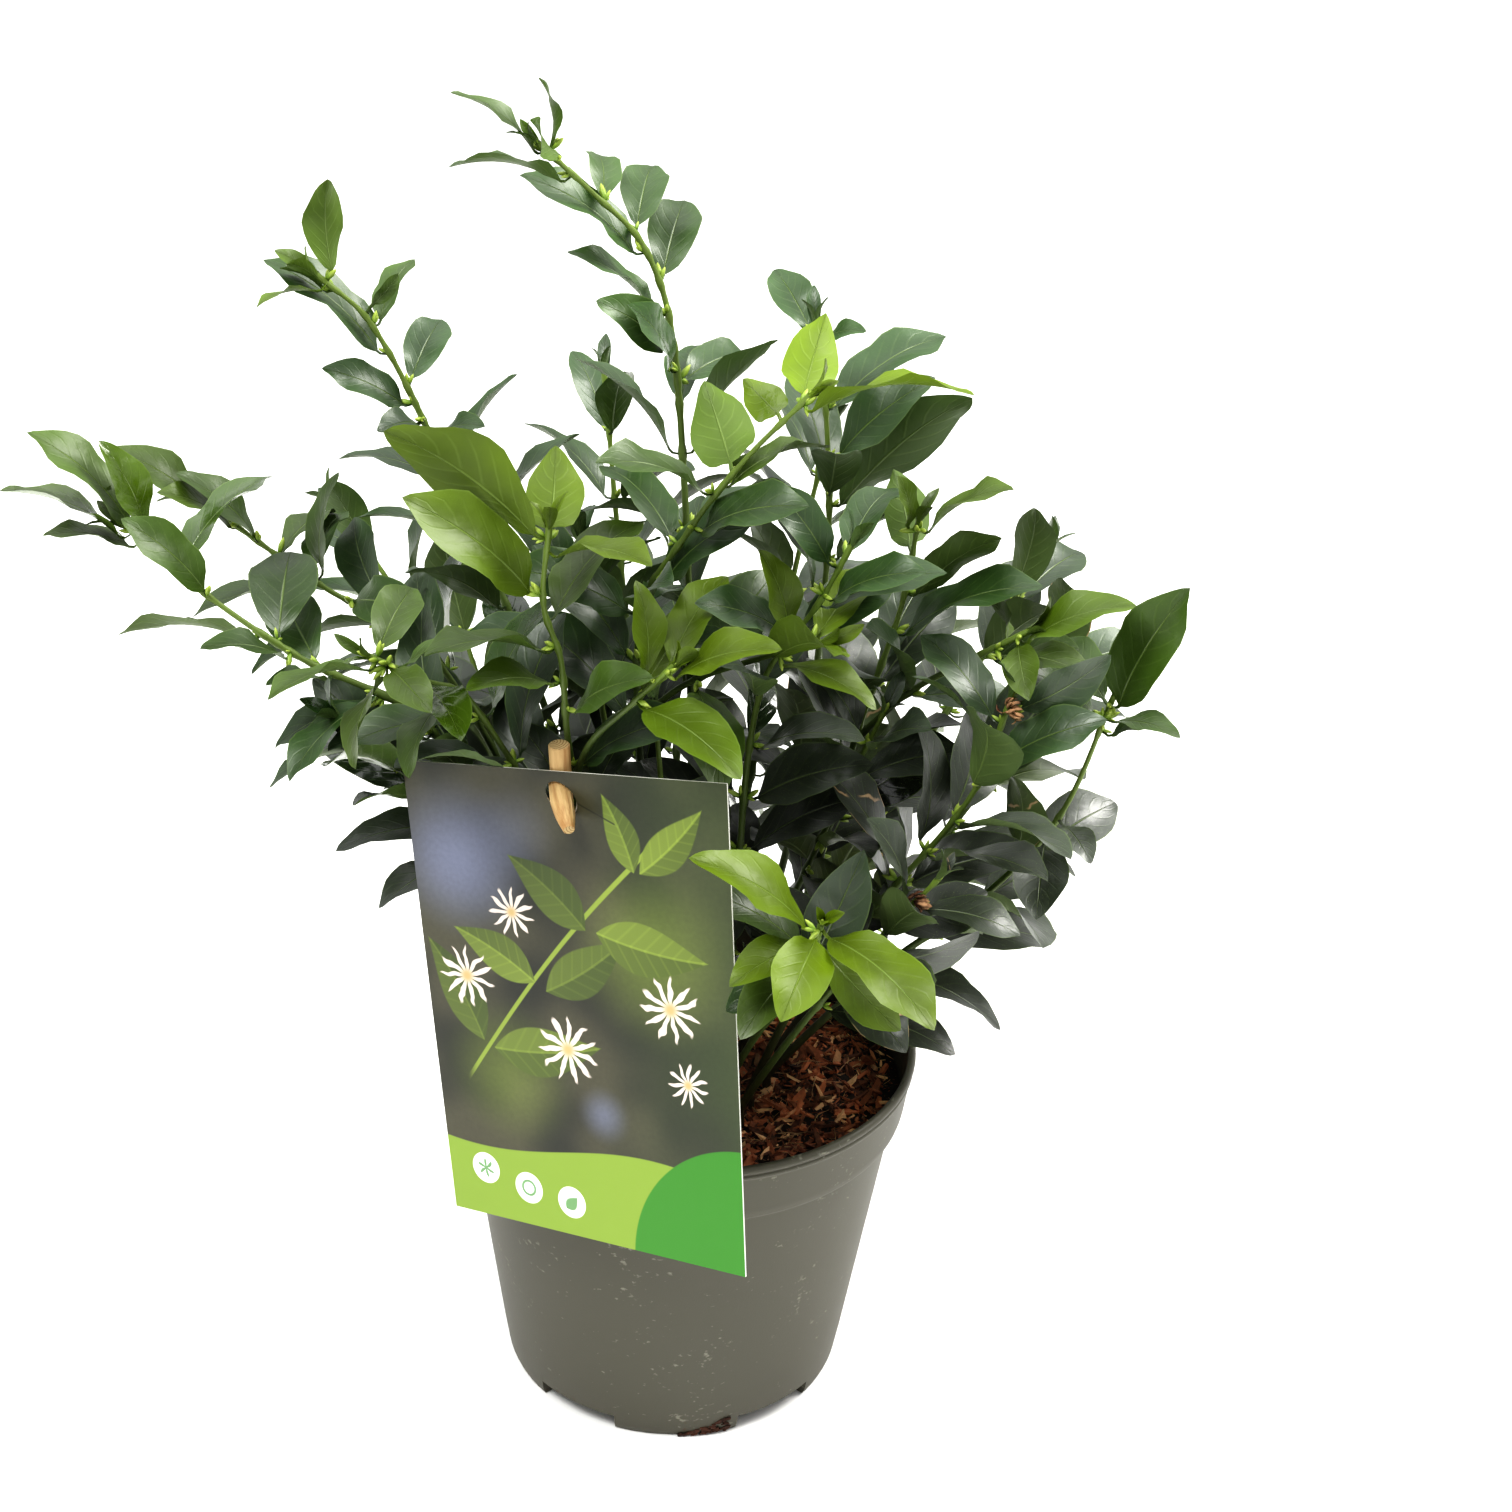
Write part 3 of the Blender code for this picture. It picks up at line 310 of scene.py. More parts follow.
class Effects:
    """The shared shader groups, each built once."""

    def __init__(self) -> None:
        """Builds the groups."""
        self.grain = self.make_grain()
        self.specks = self.make_specks()
        self.veins = self.make_veins()
        self.sprig_leaf = self.make_sprig_leaf()
        self.blossom = self.make_blossom()

    @staticmethod
    def make_grain() -> bpy.types.NodeTree:
        """Long or even grain: a broad tone, and a fine height for the bump.

        Returns:
            The group.
        """
        group = ShaderGroup("grain", {"Vector": ORIGIN, "Stretch": PLAIN,
                                      "Scale": 100.0}, ("Tone", "Height"))
        place = group.takes("Vector") * group.takes("Stretch")
        broad = group.noise(place, group.takes("Scale") * 0.12, 2.0)
        fine = group.noise(place, group.takes("Scale"), 4.0, 0.62)
        group.gives("Tone", broad * 0.6 + fine * 0.4)
        group.gives("Height", fine)
        return group.tree

    @staticmethod
    def make_specks() -> bpy.types.NodeTree:
        """Scattered small marks: the share of the surface that they cover grows with Amount.

        Returns:
            The group.
        """
        group = ShaderGroup("specks", {"Vector": ORIGIN, "Stretch": PLAIN,
                                       "Scale": 200.0, "Amount": 0.2}, ("Mask",))
        place = group.takes("Vector") * group.takes("Stretch")
        marks = group.noise(place, group.takes("Scale"), 2.0, 0.55)
        patches = group.noise(place, group.takes("Scale") * 0.13, 2.0)
        level = 0.80 - group.takes("Amount") * 0.45
        both = marks * 0.62 + patches * 0.38
        group.gives("Mask", group.held((both - level) * 14.0))
        return group.tree

    @staticmethod
    def make_veins() -> bpy.types.NodeTree:
        """A leaf's midrib and its side veins, from the place along it and across it.

        Returns:
            The group.
        """
        group = ShaderGroup("veins", {"Along": 0.0, "Across": 0.0, "Pairs": 7.0}, ("Midrib", "Side"))
        along, side = group.takes("Along"), abs(group.takes("Across"))
        taper = 0.060 - along * 0.036
        group.gives("Midrib", 1.0 - group.least(side / taper, 1.0))
        sweep = along - side * 0.22 - side * side * 0.10
        wave = group.maths("FRACT", sweep * group.takes("Pairs"))
        line = 1.0 - group.least(abs(wave - 0.5) * 8.0, 1.0)
        fade = group.ease(side, 0.02, 0.12) * group.fade(side, 0.55, 0.95)
        group.gives("Side", line * fade)
        return group.tree

    @staticmethod
    def make_sprig_leaf() -> bpy.types.NodeTree:
        """A drawn leaf: its mask, and its light and dark halves with a pale midrib.

        Returns:
            The group.
        """
        takes = {"Place": ORIGIN, "Root": ORIGIN, "Way": (1.0, 0.0, 0.0),
                 "Length": 40.0, "Width": 10.0}
        group = ShaderGroup("sprig leaf", takes, ("Mask", "Light"))
        reach = group.takes("Place") - group.takes("Root")
        way_x, way_y, _ = group.parts(group.takes("Way"))
        share = group.maths("DOT_PRODUCT", reach, group.takes("Way")) / group.takes("Length")
        aside = group.maths("DOT_PRODUCT", reach, group.join(way_y * -1.0, way_x, 0.0))
        held = group.held(share)
        aside = aside + (held - held * held) * group.takes("Length") * 0.16
        half = held * (1.0 - held) * (1.6 - held) * 3.0 * group.takes("Width")
        group.gives("Mask", group.ease(half - abs(aside), 0.0, 0.8))
        rib = group.fade(abs(aside), 0.15, 0.7)
        vein = group.maths("FRACT", (share - abs(aside) / group.takes("Length") * 0.8) * 8.0)
        veins = group.fade(abs(vein - 0.5), 0.02, 0.16)
        body = 0.42 + group.ease(aside, -0.8, 0.8) * 0.26 + veins * 0.10
        group.gives("Light", body + rib * 0.32 - share * 0.12)
        return group.tree

    @staticmethod
    def make_blossom() -> bpy.types.NodeTree:
        """A drawn tuft of petals: its mask, and how near a point is to the tuft's middle.

        Returns:
            The group.
        """
        takes = {"Place": ORIGIN, "Middle": ORIGIN, "Radius": 10.0, "Petals": 11.0}
        group = ShaderGroup("blossom", takes, ("Mask", "Heart"))
        reach = group.takes("Place") - group.takes("Middle")
        x, y, _ = group.parts(reach)
        angle = group.maths("ARCTAN2", y, x)
        spread = group.maths("LENGTH", reach) / group.takes("Radius")
        sway = group.noise(group.takes("Place"), 0.16, 1.0) * 2.6
        lobe = abs(group.maths("COSINE", angle * group.takes("Petals") * 0.5 + sway))
        group.gives("Mask", group.ease(0.24 + lobe ** 2.2 * 0.76 - spread, 0.0, 0.12))
        group.gives("Heart", 1.0 - group.ease(spread, 0.05, 0.34))
        return group.tree


class Finish(Graph):
    """A material in the making, round one Principled BSDF."""

    def __init__(self, name: str, effects: Effects) -> None:
        """Makes the material.

        Args:
            name: The material's name.
            effects: The shared groups.
        """
        self.material = bpy.data.materials.new(name)
        self.material.use_nodes = True
        super().__init__(self.material.node_tree)
        self.effects = effects
        self.shader = self.tree.nodes["Principled BSDF"]
        self.place = self.wire("ShaderNodeTexCoord", output="Object")

    def set(self, label: str, value: object) -> None:
        """Sets or feeds one of the shader's sockets."""
        colour = isinstance(value, tuple) and len(value) == 3
        self.plug((*value, 1.0) if colour else value, self.shader.inputs[label])

    def group(self, tree: bpy.types.NodeTree, inputs: dict) -> tuple[Wire, ...]:
        """A shared group with its own values.

        Args:
            tree: The group.
            inputs: Values or wires by the socket's name.

        Returns:
            All of the group's outputs.
        """
        node = self.add("ShaderNodeGroup", inputs, node_tree=tree)
        return tuple(Wire(self, socket) for socket in node.outputs)

    def grain(self, scale: float, stretch: Point = PLAIN, place: Wire | None = None) -> tuple[Wire, ...]:
        """The shared grain's tone and height, at the piece's own place where no other is given."""
        inputs = {"Vector": place or self.place, "Stretch": stretch, "Scale": scale}
        return self.group(self.effects.grain, inputs)

    def specks(self, scale: float, amount: float, stretch: Point = PLAIN, place: Wire | None = None) -> Wire:
        """The shared specks' mask, at the piece's own place where no other is given."""
        inputs = {"Vector": place or self.place, "Stretch": stretch, "Scale": scale, "Amount": amount}
        return self.group(self.effects.specks, inputs)[0]

    def attribute(self, name: str) -> Wire:
        """A vector attribute of the piece."""
        return self.wire("ShaderNodeAttribute", output="Vector", attribute_name=name)

    def done(self, colour: Wire, roughness: Term, height: Wire | None = None, depth: float = 0.0,
             strength: float = 1.0) -> Material:
        """Feeds the shader and gives the material.

        Args:
            colour: The base colour.
            roughness: The roughness.
            height: The bump's height, where there is a bump.
            depth: How deep the bump is, in metres.
            strength: The bump's strength.

        Returns:
            The material.
        """
        self.set("Base Color", colour)
        self.set("Roughness", roughness)
        if height:
            inputs = {"Height": height, "Distance": depth, "Strength": strength}
            self.set("Normal", self.wire("ShaderNodeBump", inputs))
        return self.material


# Finishes


@dataclass(frozen=True)
class LeafFinish:
    """Leaves: dark grey-green when old, yellow-green when young, paler below, glossy where wet; painted
    light makes them lighter high up on the plant, and painted shade darkens them deep inside the bush and
    along the midrib's fold."""

    old: Colour = srgb(67, 74, 62)
    grown: Colour = srgb(44, 70, 28)
    young: Colour = srgb(90, 110, 1)
    under: Colour = srgb(106, 130, 56)
    rib: Colour = srgb(150, 174, 92)
    scar: Colour = srgb(206, 174, 134)
    blotch_scale: float = 95.0
    dot_scale: float = 2400.0
    cell_scale: float = 900.0
    grown_at: tuple[float, float] = (0.0, 0.42)
    young_at: tuple[float, float] = (0.38, 1.0)
    lit_heights: tuple[float, float] = (0.37, 0.47)
    lit: float = 0.45
    shade: float = 0.6
    dull: float = 0.34
    glossiest: float = 0.09
    coat: float = 0.24
    relief: float = 0.0005

    def make(self, effects: Effects) -> Material:
        """The material, which reads the leaf's own place and tone.

        Args:
            effects: The shared groups.

        Returns:
            The material.
        """
        leaf = Finish("leaf", effects)
        along, across, rise = leaf.parts(leaf.attribute("blade"))
        age, chance, wet = leaf.parts(leaf.attribute("tone"))
        # worn and freckled are real marks; deep is the painted shade deep inside the bush.
        worn, freckled, deep = leaf.parts(leaf.attribute("wear"))
        top = leaf.ease(rise, -0.10, 0.10)
        blotch = leaf.noise(leaf.place, self.blotch_scale)
        green = leaf.mix(leaf.ease(age, *self.grown_at), self.old, self.grown)
        green = leaf.mix(leaf.ease(age, *self.young_at), green, self.young)
        # Random tone, darkened by deep and shade: painted shade for leaves deep inside the bush.
        green = green * (0.55 + chance * 0.42 + blotch * 0.34) * (1.0 - deep * self.shade)
        # Painted shade in the midrib's fold: darker near the midrib, lighter towards the margins.
        green = green * (0.84 + leaf.ease(abs(across), 0.04, 0.85) * 0.26)
        # Painted light: leaves high up on the plant are made lighter.
        height = leaf.parts(leaf.place)[2]
        green = green * (1.0 + leaf.ease(height, *self.lit_heights) * self.lit)
        midrib, side = leaf.group(effects.veins, {"Along": along, "Across": across})
        margin = leaf.ease(abs(across), 0.94, 1.0)
        upper = leaf.mix(midrib * 0.36 + side * 0.05 + margin * 0.20, green, self.rib)
        lower = leaf.mix(midrib * 0.40 + side * 0.12, leaf.mix(0.55 - age * 0.4, green, self.under), self.rib)
        dots = leaf.noise(leaf.place, self.dot_scale, 1.0)
        upper = leaf.mix(leaf.ease(dots, 0.68, 0.76) * freckled, upper, self.rib)
        colour = leaf.mix(top, lower, upper)
        line = abs(along - 0.30 - chance * 0.4 + across * 0.2 + (blotch - 0.5) * 0.24)
        scratch = leaf.fade(line, 0.008, 0.024)
        scratch = scratch * (1.0 - leaf.ease(abs(abs(across) - 0.55), 0.20, 0.42))
        scar = leaf.most(scratch, margin * leaf.ease(blotch, 0.50, 0.56)) * worn
        colour = leaf.mix(scar * 0.9, colour, self.scar)
        dull = self.dull + age * 0.06 + blotch * 0.14 + (1.0 - top) * 0.16
        leaf.set("Coat Weight", self.coat - age * 0.18 + wet * 0.5)
        leaf.set("Coat Roughness", self.coat - wet * 0.13)
        leaf.set("Specular IOR Level", 0.95 - age * 0.5)
        cells = leaf.noise(leaf.place, self.cell_scale, 2.0)
        ribs = (side * 0.22 + midrib) * (1.0 - top * 1.7)
        bumps = ribs + cells * 0.05 + blotch * 1.3
        return leaf.done(colour, leaf.most(dull - wet * 0.30, self.glossiest), bumps, self.relief, 0.8)


@dataclass(frozen=True)
class StemFinish:
    """Stems: yellow-green near the tips, brown-green and rougher near the compost."""

    tip: Colour = srgb(110, 130, 58)
    middle: Colour = srgb(72, 88, 42)
    foot: Colour = srgb(62, 56, 38)
    streak_scale: float = 700.0
    streak: Point = (1.0, 1.0, 0.22)
    dull: float = 0.38
    relief: float = 0.0002

    def make(self, effects: Effects) -> Material:
        """The material, which reads how far up the plant a point is.

        Args:
            effects: The shared groups.

        Returns:
            The material.
        """
        stem = Finish("stem", effects)
        height, chance, _ = stem.parts(stem.attribute("tone"))
        tone, fine = stem.grain(self.streak_scale, self.streak)
        colour = stem.mix(stem.ease(height, 0.05, 0.45), self.foot, self.middle)
        colour = stem.mix(stem.ease(height, 0.40, 1.0), colour, self.tip)
        colour = colour * (0.5 + tone * 0.8 + chance * 0.2)
        return stem.done(colour, self.dull + tone * 0.22, fine, self.relief)


@dataclass(frozen=True)
class BudFinish:
    """Buds: small and waxy, yellow-green with a paler tip."""

    foot: Colour = srgb(104, 140, 44)
    tip: Colour = srgb(176, 192, 92)
    scale: float = 900.0
    dull: float = 0.32

    def make(self, effects: Effects) -> Material:
        """The material, which reads how far along the bud a point is.

        Args:
            effects: The shared groups.

        Returns:
            The material.
        """
        bud = Finish("bud", effects)
        along, _, _ = bud.parts(bud.attribute("blade"))
        tone, _ = bud.grain(self.scale)
        colour = bud.mix(along, self.foot, self.tip) * (0.75 + tone * 0.5)
        return bud.done(colour, self.dull + tone * 0.2)


@dataclass(frozen=True)
class HuskFinish:
    """Dried flowers: papery and brown, paler at the edges."""

    dark: Colour = srgb(92, 56, 38)
    pale: Colour = srgb(196, 156, 118)
    scale: float = 520.0
    dull: float = 0.8
    relief: float = 0.0003

    def make(self, effects: Effects) -> Material:
        """The material.

        Args:
            effects: The shared groups.

        Returns:
            The material.
        """
        husk = Finish("husk", effects)
        tone, _ = husk.grain(self.scale)
        colour = husk.mix(husk.ease(tone, 0.40, 0.62), self.dark, self.pale)
        return husk.done(colour, self.dull, tone, self.relief)


@dataclass(frozen=True)
class PotFinish:
    """Moulded recycled plastic: olive grey, satin, with pale scuffs and brown soil specks near its foot."""

    base: Colour = srgb(79, 77, 65)
    scuff: Colour = srgb(178, 176, 162)
    soiled: Colour = srgb(82, 62, 46)
    flow_scale: float = 60.0
    flow: Point = (1.0, 1.0, 0.5)
    scuff_scale: float = 330.0
    dirt_scale: float = 420.0
    fine_scale: float = 1500.0
    marked: float = 0.40
    dirt_height: float = 0.016
    dull: float = 0.40
    relief: float = 0.00012

    def make(self, effects: Effects) -> Material:
        """The material.

        Args:
            effects: The shared groups.

        Returns:
            The material.
        """
        pot = Finish("pot_plastic", effects)
        height = pot.parts(pot.place)[2]
        tone, _ = pot.grain(self.flow_scale, self.flow)
        scuffs = pot.specks(self.scuff_scale, self.marked, (1.0, 1.0, 1.5))
        dirt = pot.specks(self.dirt_scale, self.marked)
        low = pot.fade(height, 0.0, self.dirt_height)
        plain = pot.mix(tone, tuple(c * 0.90 for c in self.base), tuple(c * 1.10 for c in self.base))
        colour = pot.mix(scuffs * 0.34, plain, self.scuff)
        colour = pot.mix(dirt * low * 0.8, colour, self.soiled)
        bumps = pot.noise(pot.place, self.fine_scale, 2.0) * 0.5 + tone * 0.9 + scuffs * 0.4
        return pot.done(colour, self.dull + tone * 0.16 + scuffs * 0.2, bumps, self.relief, 0.6)


@dataclass(frozen=True)
class BarkFinish:
    """Bark and coco chips: each its own red-brown, dark where moist, with pale fibres among them."""

    dark: Colour = srgb(24, 13, 9)
    red: Colour = srgb(148, 92, 64)
    pale: Colour = srgb(206, 170, 132)
    scale: float = 620.0
    dull: float = 0.62
    relief: float = 0.0006

    def make(self, effects: Effects, name: str, paleness: float, shade: float) -> Material:
        """The material.

        Args:
            effects: The shared groups.
            name: The material's name.
            paleness: How much of the pale colour there is in it.
            shade: How light it is over all.

        Returns:
            The material, which reads the chip's own tone.
        """
        bark = Finish(name, effects)
        chance, other, _ = bark.parts(bark.attribute("tone"))
        tone, fine = bark.grain(self.scale, (1.0, 0.5, 1.0))
        colour = bark.mix(chance ** 1.5 * 0.8 + bark.ease(tone, 0.35, 0.65) * 0.25, self.dark, self.red)
        colour = bark.mix(bark.ease(other, 0.80, 1.0) * 0.7 + paleness, colour, self.pale)
        colour = colour * (shade * 0.55 + tone * shade * 0.9)
        return bark.done(colour, self.dull + tone * 0.3, fine, self.relief)


@dataclass(frozen=True)
class WoodFinish:
    """Light softwood: long grain on the sides, rings on the cut ends."""

    light: Colour = srgb(222, 196, 146)
    dark: Colour = srgb(158, 114, 66)
    streak_scale: float = 520.0
    streak: Point = (1.0, 1.0, 0.05)
    pore_scale: float = 1600.0
    pore: Point = (1.0, 1.0, 0.12)
    end_scale: float = 1500.0
    ring_scale: float = 900.0
    pith: tuple[float, float] = (0.004, 0.003)
    relief: float = 0.0003

    def make_side(self, effects: Effects) -> Material:
        """The long grain, which reads the rod's own coordinates.

        Args:
            effects: The shared groups.

        Returns:
            The material.
        """
        wood = Finish("wood_side", effects)
        place = wood.attribute("grain")
        tone, fine = wood.grain(self.streak_scale, self.streak, place)
        pores = wood.specks(self.pore_scale, 0.5, self.pore, place)
        colour = wood.mix(wood.ease(tone, 0.34, 0.66), self.dark, self.light)
        colour = wood.mix(pores * 0.35, colour, self.dark)
        return wood.done(colour, 0.55 + tone * 0.2, fine, self.relief)

    def make_end(self, effects: Effects) -> Material:
        """The end grain: rings round a pith that lies off the middle.

        Args:
            effects: The shared groups.

        Returns:
            The material.
        """
        wood = Finish("wood_end", effects)
        x, y, _ = wood.parts(wood.attribute("grain"))
        aside, behind = self.pith
        reach = wood.maths("LENGTH", wood.join(x + aside, y - behind, 0.0))
        rough, _ = wood.grain(self.end_scale)
        rings = wood.maths("FRACT", reach * self.ring_scale + rough)
        colour = wood.mix(wood.ease(rings, 0.55, 0.95), self.light, self.dark)
        return wood.done(colour * (0.55 + rough * 0.35), 0.75, rough, self.relief)


@dataclass(frozen=True)
class DrawnLeaf:
    """A leaf of the label's sprig, in mm from the card's lower middle."""

    root: tuple[float, float]
    turn: float
    length: float
    width: float
    tint: float


@dataclass(frozen=True)
class CardFinish:
    """The label's print: a dim blurred garden, a leafy sprig with pale tufts, and green bands."""

    size: tuple[float, float]
    ground: Colour = srgb(72, 70, 52)
    ground_dark: Colour = srgb(34, 36, 26)
    ground_green: Colour = srgb(62, 78, 36)
    glow: Colour = srgb(124, 130, 154)
    leaf_dark: Colour = srgb(28, 46, 18)
    leaf_light: Colour = srgb(134, 152, 62)
    petal: Colour = srgb(226, 214, 204)
    heart: Colour = srgb(190, 160, 84)
    lime: Colour = srgb(132, 158, 56)
    green: Colour = srgb(56, 130, 30)
    white: Colour = srgb(242, 244, 238)
    paper: Colour = srgb(226, 226, 218)
    glows: tuple[tuple[tuple[float, float], float, float, Colour], ...] = (
        ((-48.0, 148.0), 36.0, 0.9, glow), ((8.0, 52.0), 13.0, 0.5, glow), ((-22.0, 160.0), 22.0, 0.3, glow),
        ((34.0, 118.0), 40.0, 0.4, leaf_light), ((-34.0, 62.0), 34.0, 0.35, leaf_light),
        ((52.0, 44.0), 30.0, 0.6, ground_dark))
    sprig_left: float = 50.0
    sprig_foot: float = 62.0
    sprig_span: tuple[float, float] = (85.0, 96.0)
    sprig_bow: float = 5.0
    sprig_half: tuple[float, float] = (0.9, 1.7)
    sprig_start: tuple[float, float] = (-54.0, -48.0)
    sprig_end: tuple[float, float] = (32.0, 36.0)
    leaves: tuple[DrawnLeaf, ...] = (
        DrawnLeaf((-44.0, 74.0), 118.0, 46.0, 11.0, 0.2),
        DrawnLeaf((-40.0, 72.0), 8.0, 50.0, 12.0, 0.55),
        DrawnLeaf((-18.0, 101.0), 152.0, 40.0, 10.0, 0.75),
        DrawnLeaf((-14.0, 98.0), 34.0, 44.0, 11.0, 0.3),
        DrawnLeaf((6.0, 124.0), 140.0, 42.0, 11.0, 0.15),
        DrawnLeaf((10.0, 124.0), -8.0, 48.0, 12.0, 0.8),
        DrawnLeaf((28.0, 148.0), 112.0, 32.0, 8.0, 0.6),
        DrawnLeaf((30.0, 148.0), 44.0, 38.0, 9.0, 0.9),
    )
    tufts: tuple[tuple[float, float, float], ...] = (
        (-49.0, 100.0, 13.0), (-6.0, 76.0, 14.0), (-26.0, 128.0, 10.5), (40.0, 98.0, 13.5), (46.0, 70.0, 9.0))
    discs: tuple[tuple[float, float], ...] = ((-50.0, 20.0), (-30.0, 15.5), (-10.0, 13.5))
    disc_radius: float = 6.4
    star_radius: float = 4.2
    ring_radius: float = 2.9
    mark_back: float = 3.0
    mark_length: float = 8.4
    mark_width: float = 3.4
    band_height: float = 33.0
    band_slope: float = 0.05
    band_shift: float = 12.0
    band_run: float = 27.0
    band_swing: float = 6.0
    corner: tuple[float, float] = (70.0, 4.0)
    corner_radius: float = 52.0
    slit: tuple[float, float, float, float] = (4.5, 173.5, 21.0, 166.0)

    def make_print(self, effects: Effects) -> Material:
        """The printed side.

        Args:
            effects: The shared groups.

        Returns:
            The material.
        """
        card = Finish("card_print", effects)
        across, up, _ = card.parts(card.wire("ShaderNodeUVMap", uv_map="print"))
        x = (across - 0.5) * self.size[0]
        y = up * self.size[1]
        place = card.join(x, y, 0.0)
        colour = self.garden(card, place, x, y)
        wide, high = self.sprig_span
        bow = (x + self.sprig_left) / wide
        line = y - self.sprig_foot - bow * high - card.maths("SINE", bow * math.pi) * self.sprig_bow
        stalk = card.fade(abs(line), *self.sprig_half) * card.ease(x, *self.sprig_start)
        colour = card.mix(stalk * card.fade(x, *self.sprig_end), colour, self.leaf_light)
        for leaf in self.leaves:
            colour = self.draw_leaf(card, place, leaf, colour)
        for middle_x, middle_y, radius in self.tufts:
            inputs = {"Place": place, "Middle": (middle_x, middle_y, 0.0), "Radius": radius}
            mask, heart = card.group(effects.blossom, inputs)
            tuft = card.mix(heart * 0.8, self.petal, self.heart)
            colour = card.mix(mask * 0.94, colour, tuft)
        colour = self.bands(card, x, y, colour)
        colour = self.draw_discs(card, place, colour)
        # The slit is painted as a dark line, not cut: painted shade in the cut.
        colour = card.mix(self.painted_slit_shade(card, x, y) * 0.75, colour, self.ground_dark)
        card.set("Coat Weight", 0.15)
        card.set("Coat Roughness", 0.3)
        dots = card.noise(place, 2.2, 2.0)
        return card.done(colour, 0.36 + dots * 0.12, dots, 0.00003)

    def garden(self, card: Finish, place: Wire, x: Wire, y: Wire) -> Wire:
        """The blurred ground, with a pale glow high on the left and a dim green right side.

        Args:
            card: The material in the making.
            place: The place on the card, in mm.
            x: The place across the card, in mm.
            y: The place up the card, in mm; not used.

        Returns:
            The ground's colour.
        """
        blur = card.noise(place, 0.022, 1.0)
        colour = card.mix(card.ease(blur, 0.36, 0.62), self.ground_dark, self.ground)
        colour = card.mix(card.ease(x, 0.0, 80.0) * 0.7, colour, self.ground_green)
        for middle, radius, share, tint in self.glows:
            reach = card.maths("DISTANCE", place, (*middle, 0.0))
            colour = card.mix(card.fade(reach, 0.0, radius) * share, colour, tint)
        return colour * (0.86 + card.noise(place, 0.5, 2.0) * 0.28)

    def draw_leaf(self, card: Finish, place: Wire, leaf: DrawnLeaf, colour: Wire) -> Wire:
        """Draws one leaf of the sprig over a colour.

        Args:
            card: The material in the making.
            place: The place on the card, in mm.
            leaf: The leaf.
            colour: The colour that lies below.

        Returns:
            The colour with the leaf on it.
        """
        turn = math.radians(leaf.turn)
        inputs = {"Place": place, "Root": (*leaf.root, 0.0), "Length": leaf.length, "Width": leaf.width,
                  "Way": (math.cos(turn), math.sin(turn), 0.0)}
        mask, light = card.group(card.effects.sprig_leaf, inputs)
        tint = card.mix(light * (0.4 + leaf.tint * 0.8), self.leaf_dark, self.leaf_light)
        return card.mix(mask, colour, tint)

    def bands(self, card: Finish, x: Wire, y: Wire, colour: Wire) -> Wire:
        """The lime band with a swung upper edge, and the greener quarter disc beside it.

        Args:
            card: The material in the making.
            x: The place across the card, in mm.
            y: The place up the card, in mm.
            colour: The colour that lies below.

        Returns:
            The colour with the bands on it.
        """
        swing = card.maths("SINE", (x + self.band_shift) / self.band_run)
        edge = self.band_height - x * self.band_slope + swing * self.band_swing
        colour = card.mix(card.ease(edge - y, -0.3, 0.3), colour, self.lime)
        right, below = self.corner
        reach = card.maths("LENGTH", card.join(x - right, y + below, 0.0))
        inside = card.fade(reach, self.corner_radius - 0.3, self.corner_radius + 0.3)
        return card.mix(inside, colour, self.green)

    def draw_discs(self, card: Finish, place: Wire, colour: Wire) -> Wire:
        """Three white discs, each with a small green mark: a star, a ring and a leaf.

        Args:
            card: The material in the making.
            place: The place on the card, in mm.
            colour: The colour that lies below.

        Returns:
            The colour with the discs on it.
        """
        for k, (middle_x, middle_y) in enumerate(self.discs):
            reach = card.maths("DISTANCE", place, (middle_x, middle_y, 0.0))
            inside = card.fade(reach, self.disc_radius - 0.2, self.disc_radius + 0.2)
            colour = card.mix(inside, colour, self.white)
            if k == 0:
                inputs = {"Place": place, "Middle": (middle_x, middle_y, 0.0), "Radius": self.star_radius,
                          "Petals": 6.0}
                mark = card.group(card.effects.blossom, inputs)[0]
            elif k == 1:
                mark = card.fade(abs(reach - self.ring_radius), 0.3, 0.7)
            else:
                root = (middle_x - self.mark_back, middle_y - self.mark_back, 0.0)
                inputs = {"Place": place, "Root": root, "Length": self.mark_length,
                          "Width": self.mark_width, "Way": (0.72, 0.69, 0.0)}
                mark = card.group(card.effects.sprig_leaf, inputs)[0]
            colour = card.mix(mark * 0.85, colour, self.green)
        return colour

    def painted_slit_shade(self, card: Finish, x: Wire, y: Wire) -> Wire:
        """The thin cut that runs from the peg's hole, drawn as a dark line: painted shade in the cut.

        Args:
            card: The material in the making.
            x: The place across the card, in mm.
            y: The place up the card, in mm.

        Returns:
            The cut's mask.
        """
        from_x, from_y, to_x, to_y = self.slit
        slope = (to_y - from_y) / (to_x - from_x)
        off = y - from_y - (x - from_x) * slope
        span = card.ease(x, from_x - 1.0, from_x) * card.fade(x, to_x, to_x + 0.4)
        return card.fade(abs(off), 0.22, 0.42) * span

    def make_paper(self, effects: Effects, name: str, dirt: float) -> Material:
        """Plain board, for the back and for the cut edges.

        Args:
            effects: The shared groups.
            name: The material's name.
            dirt: How soiled it is.

        Returns:
            The material.
        """
        board = Finish(name, effects)
        tone, _ = board.grain(420.0)
        colour = board.mix(board.specks(160.0, dirt) * 0.4, self.paper, self.ground)
        return board.done(colour * (0.9 + tone * 0.16), 0.7, tone, 0.00005)


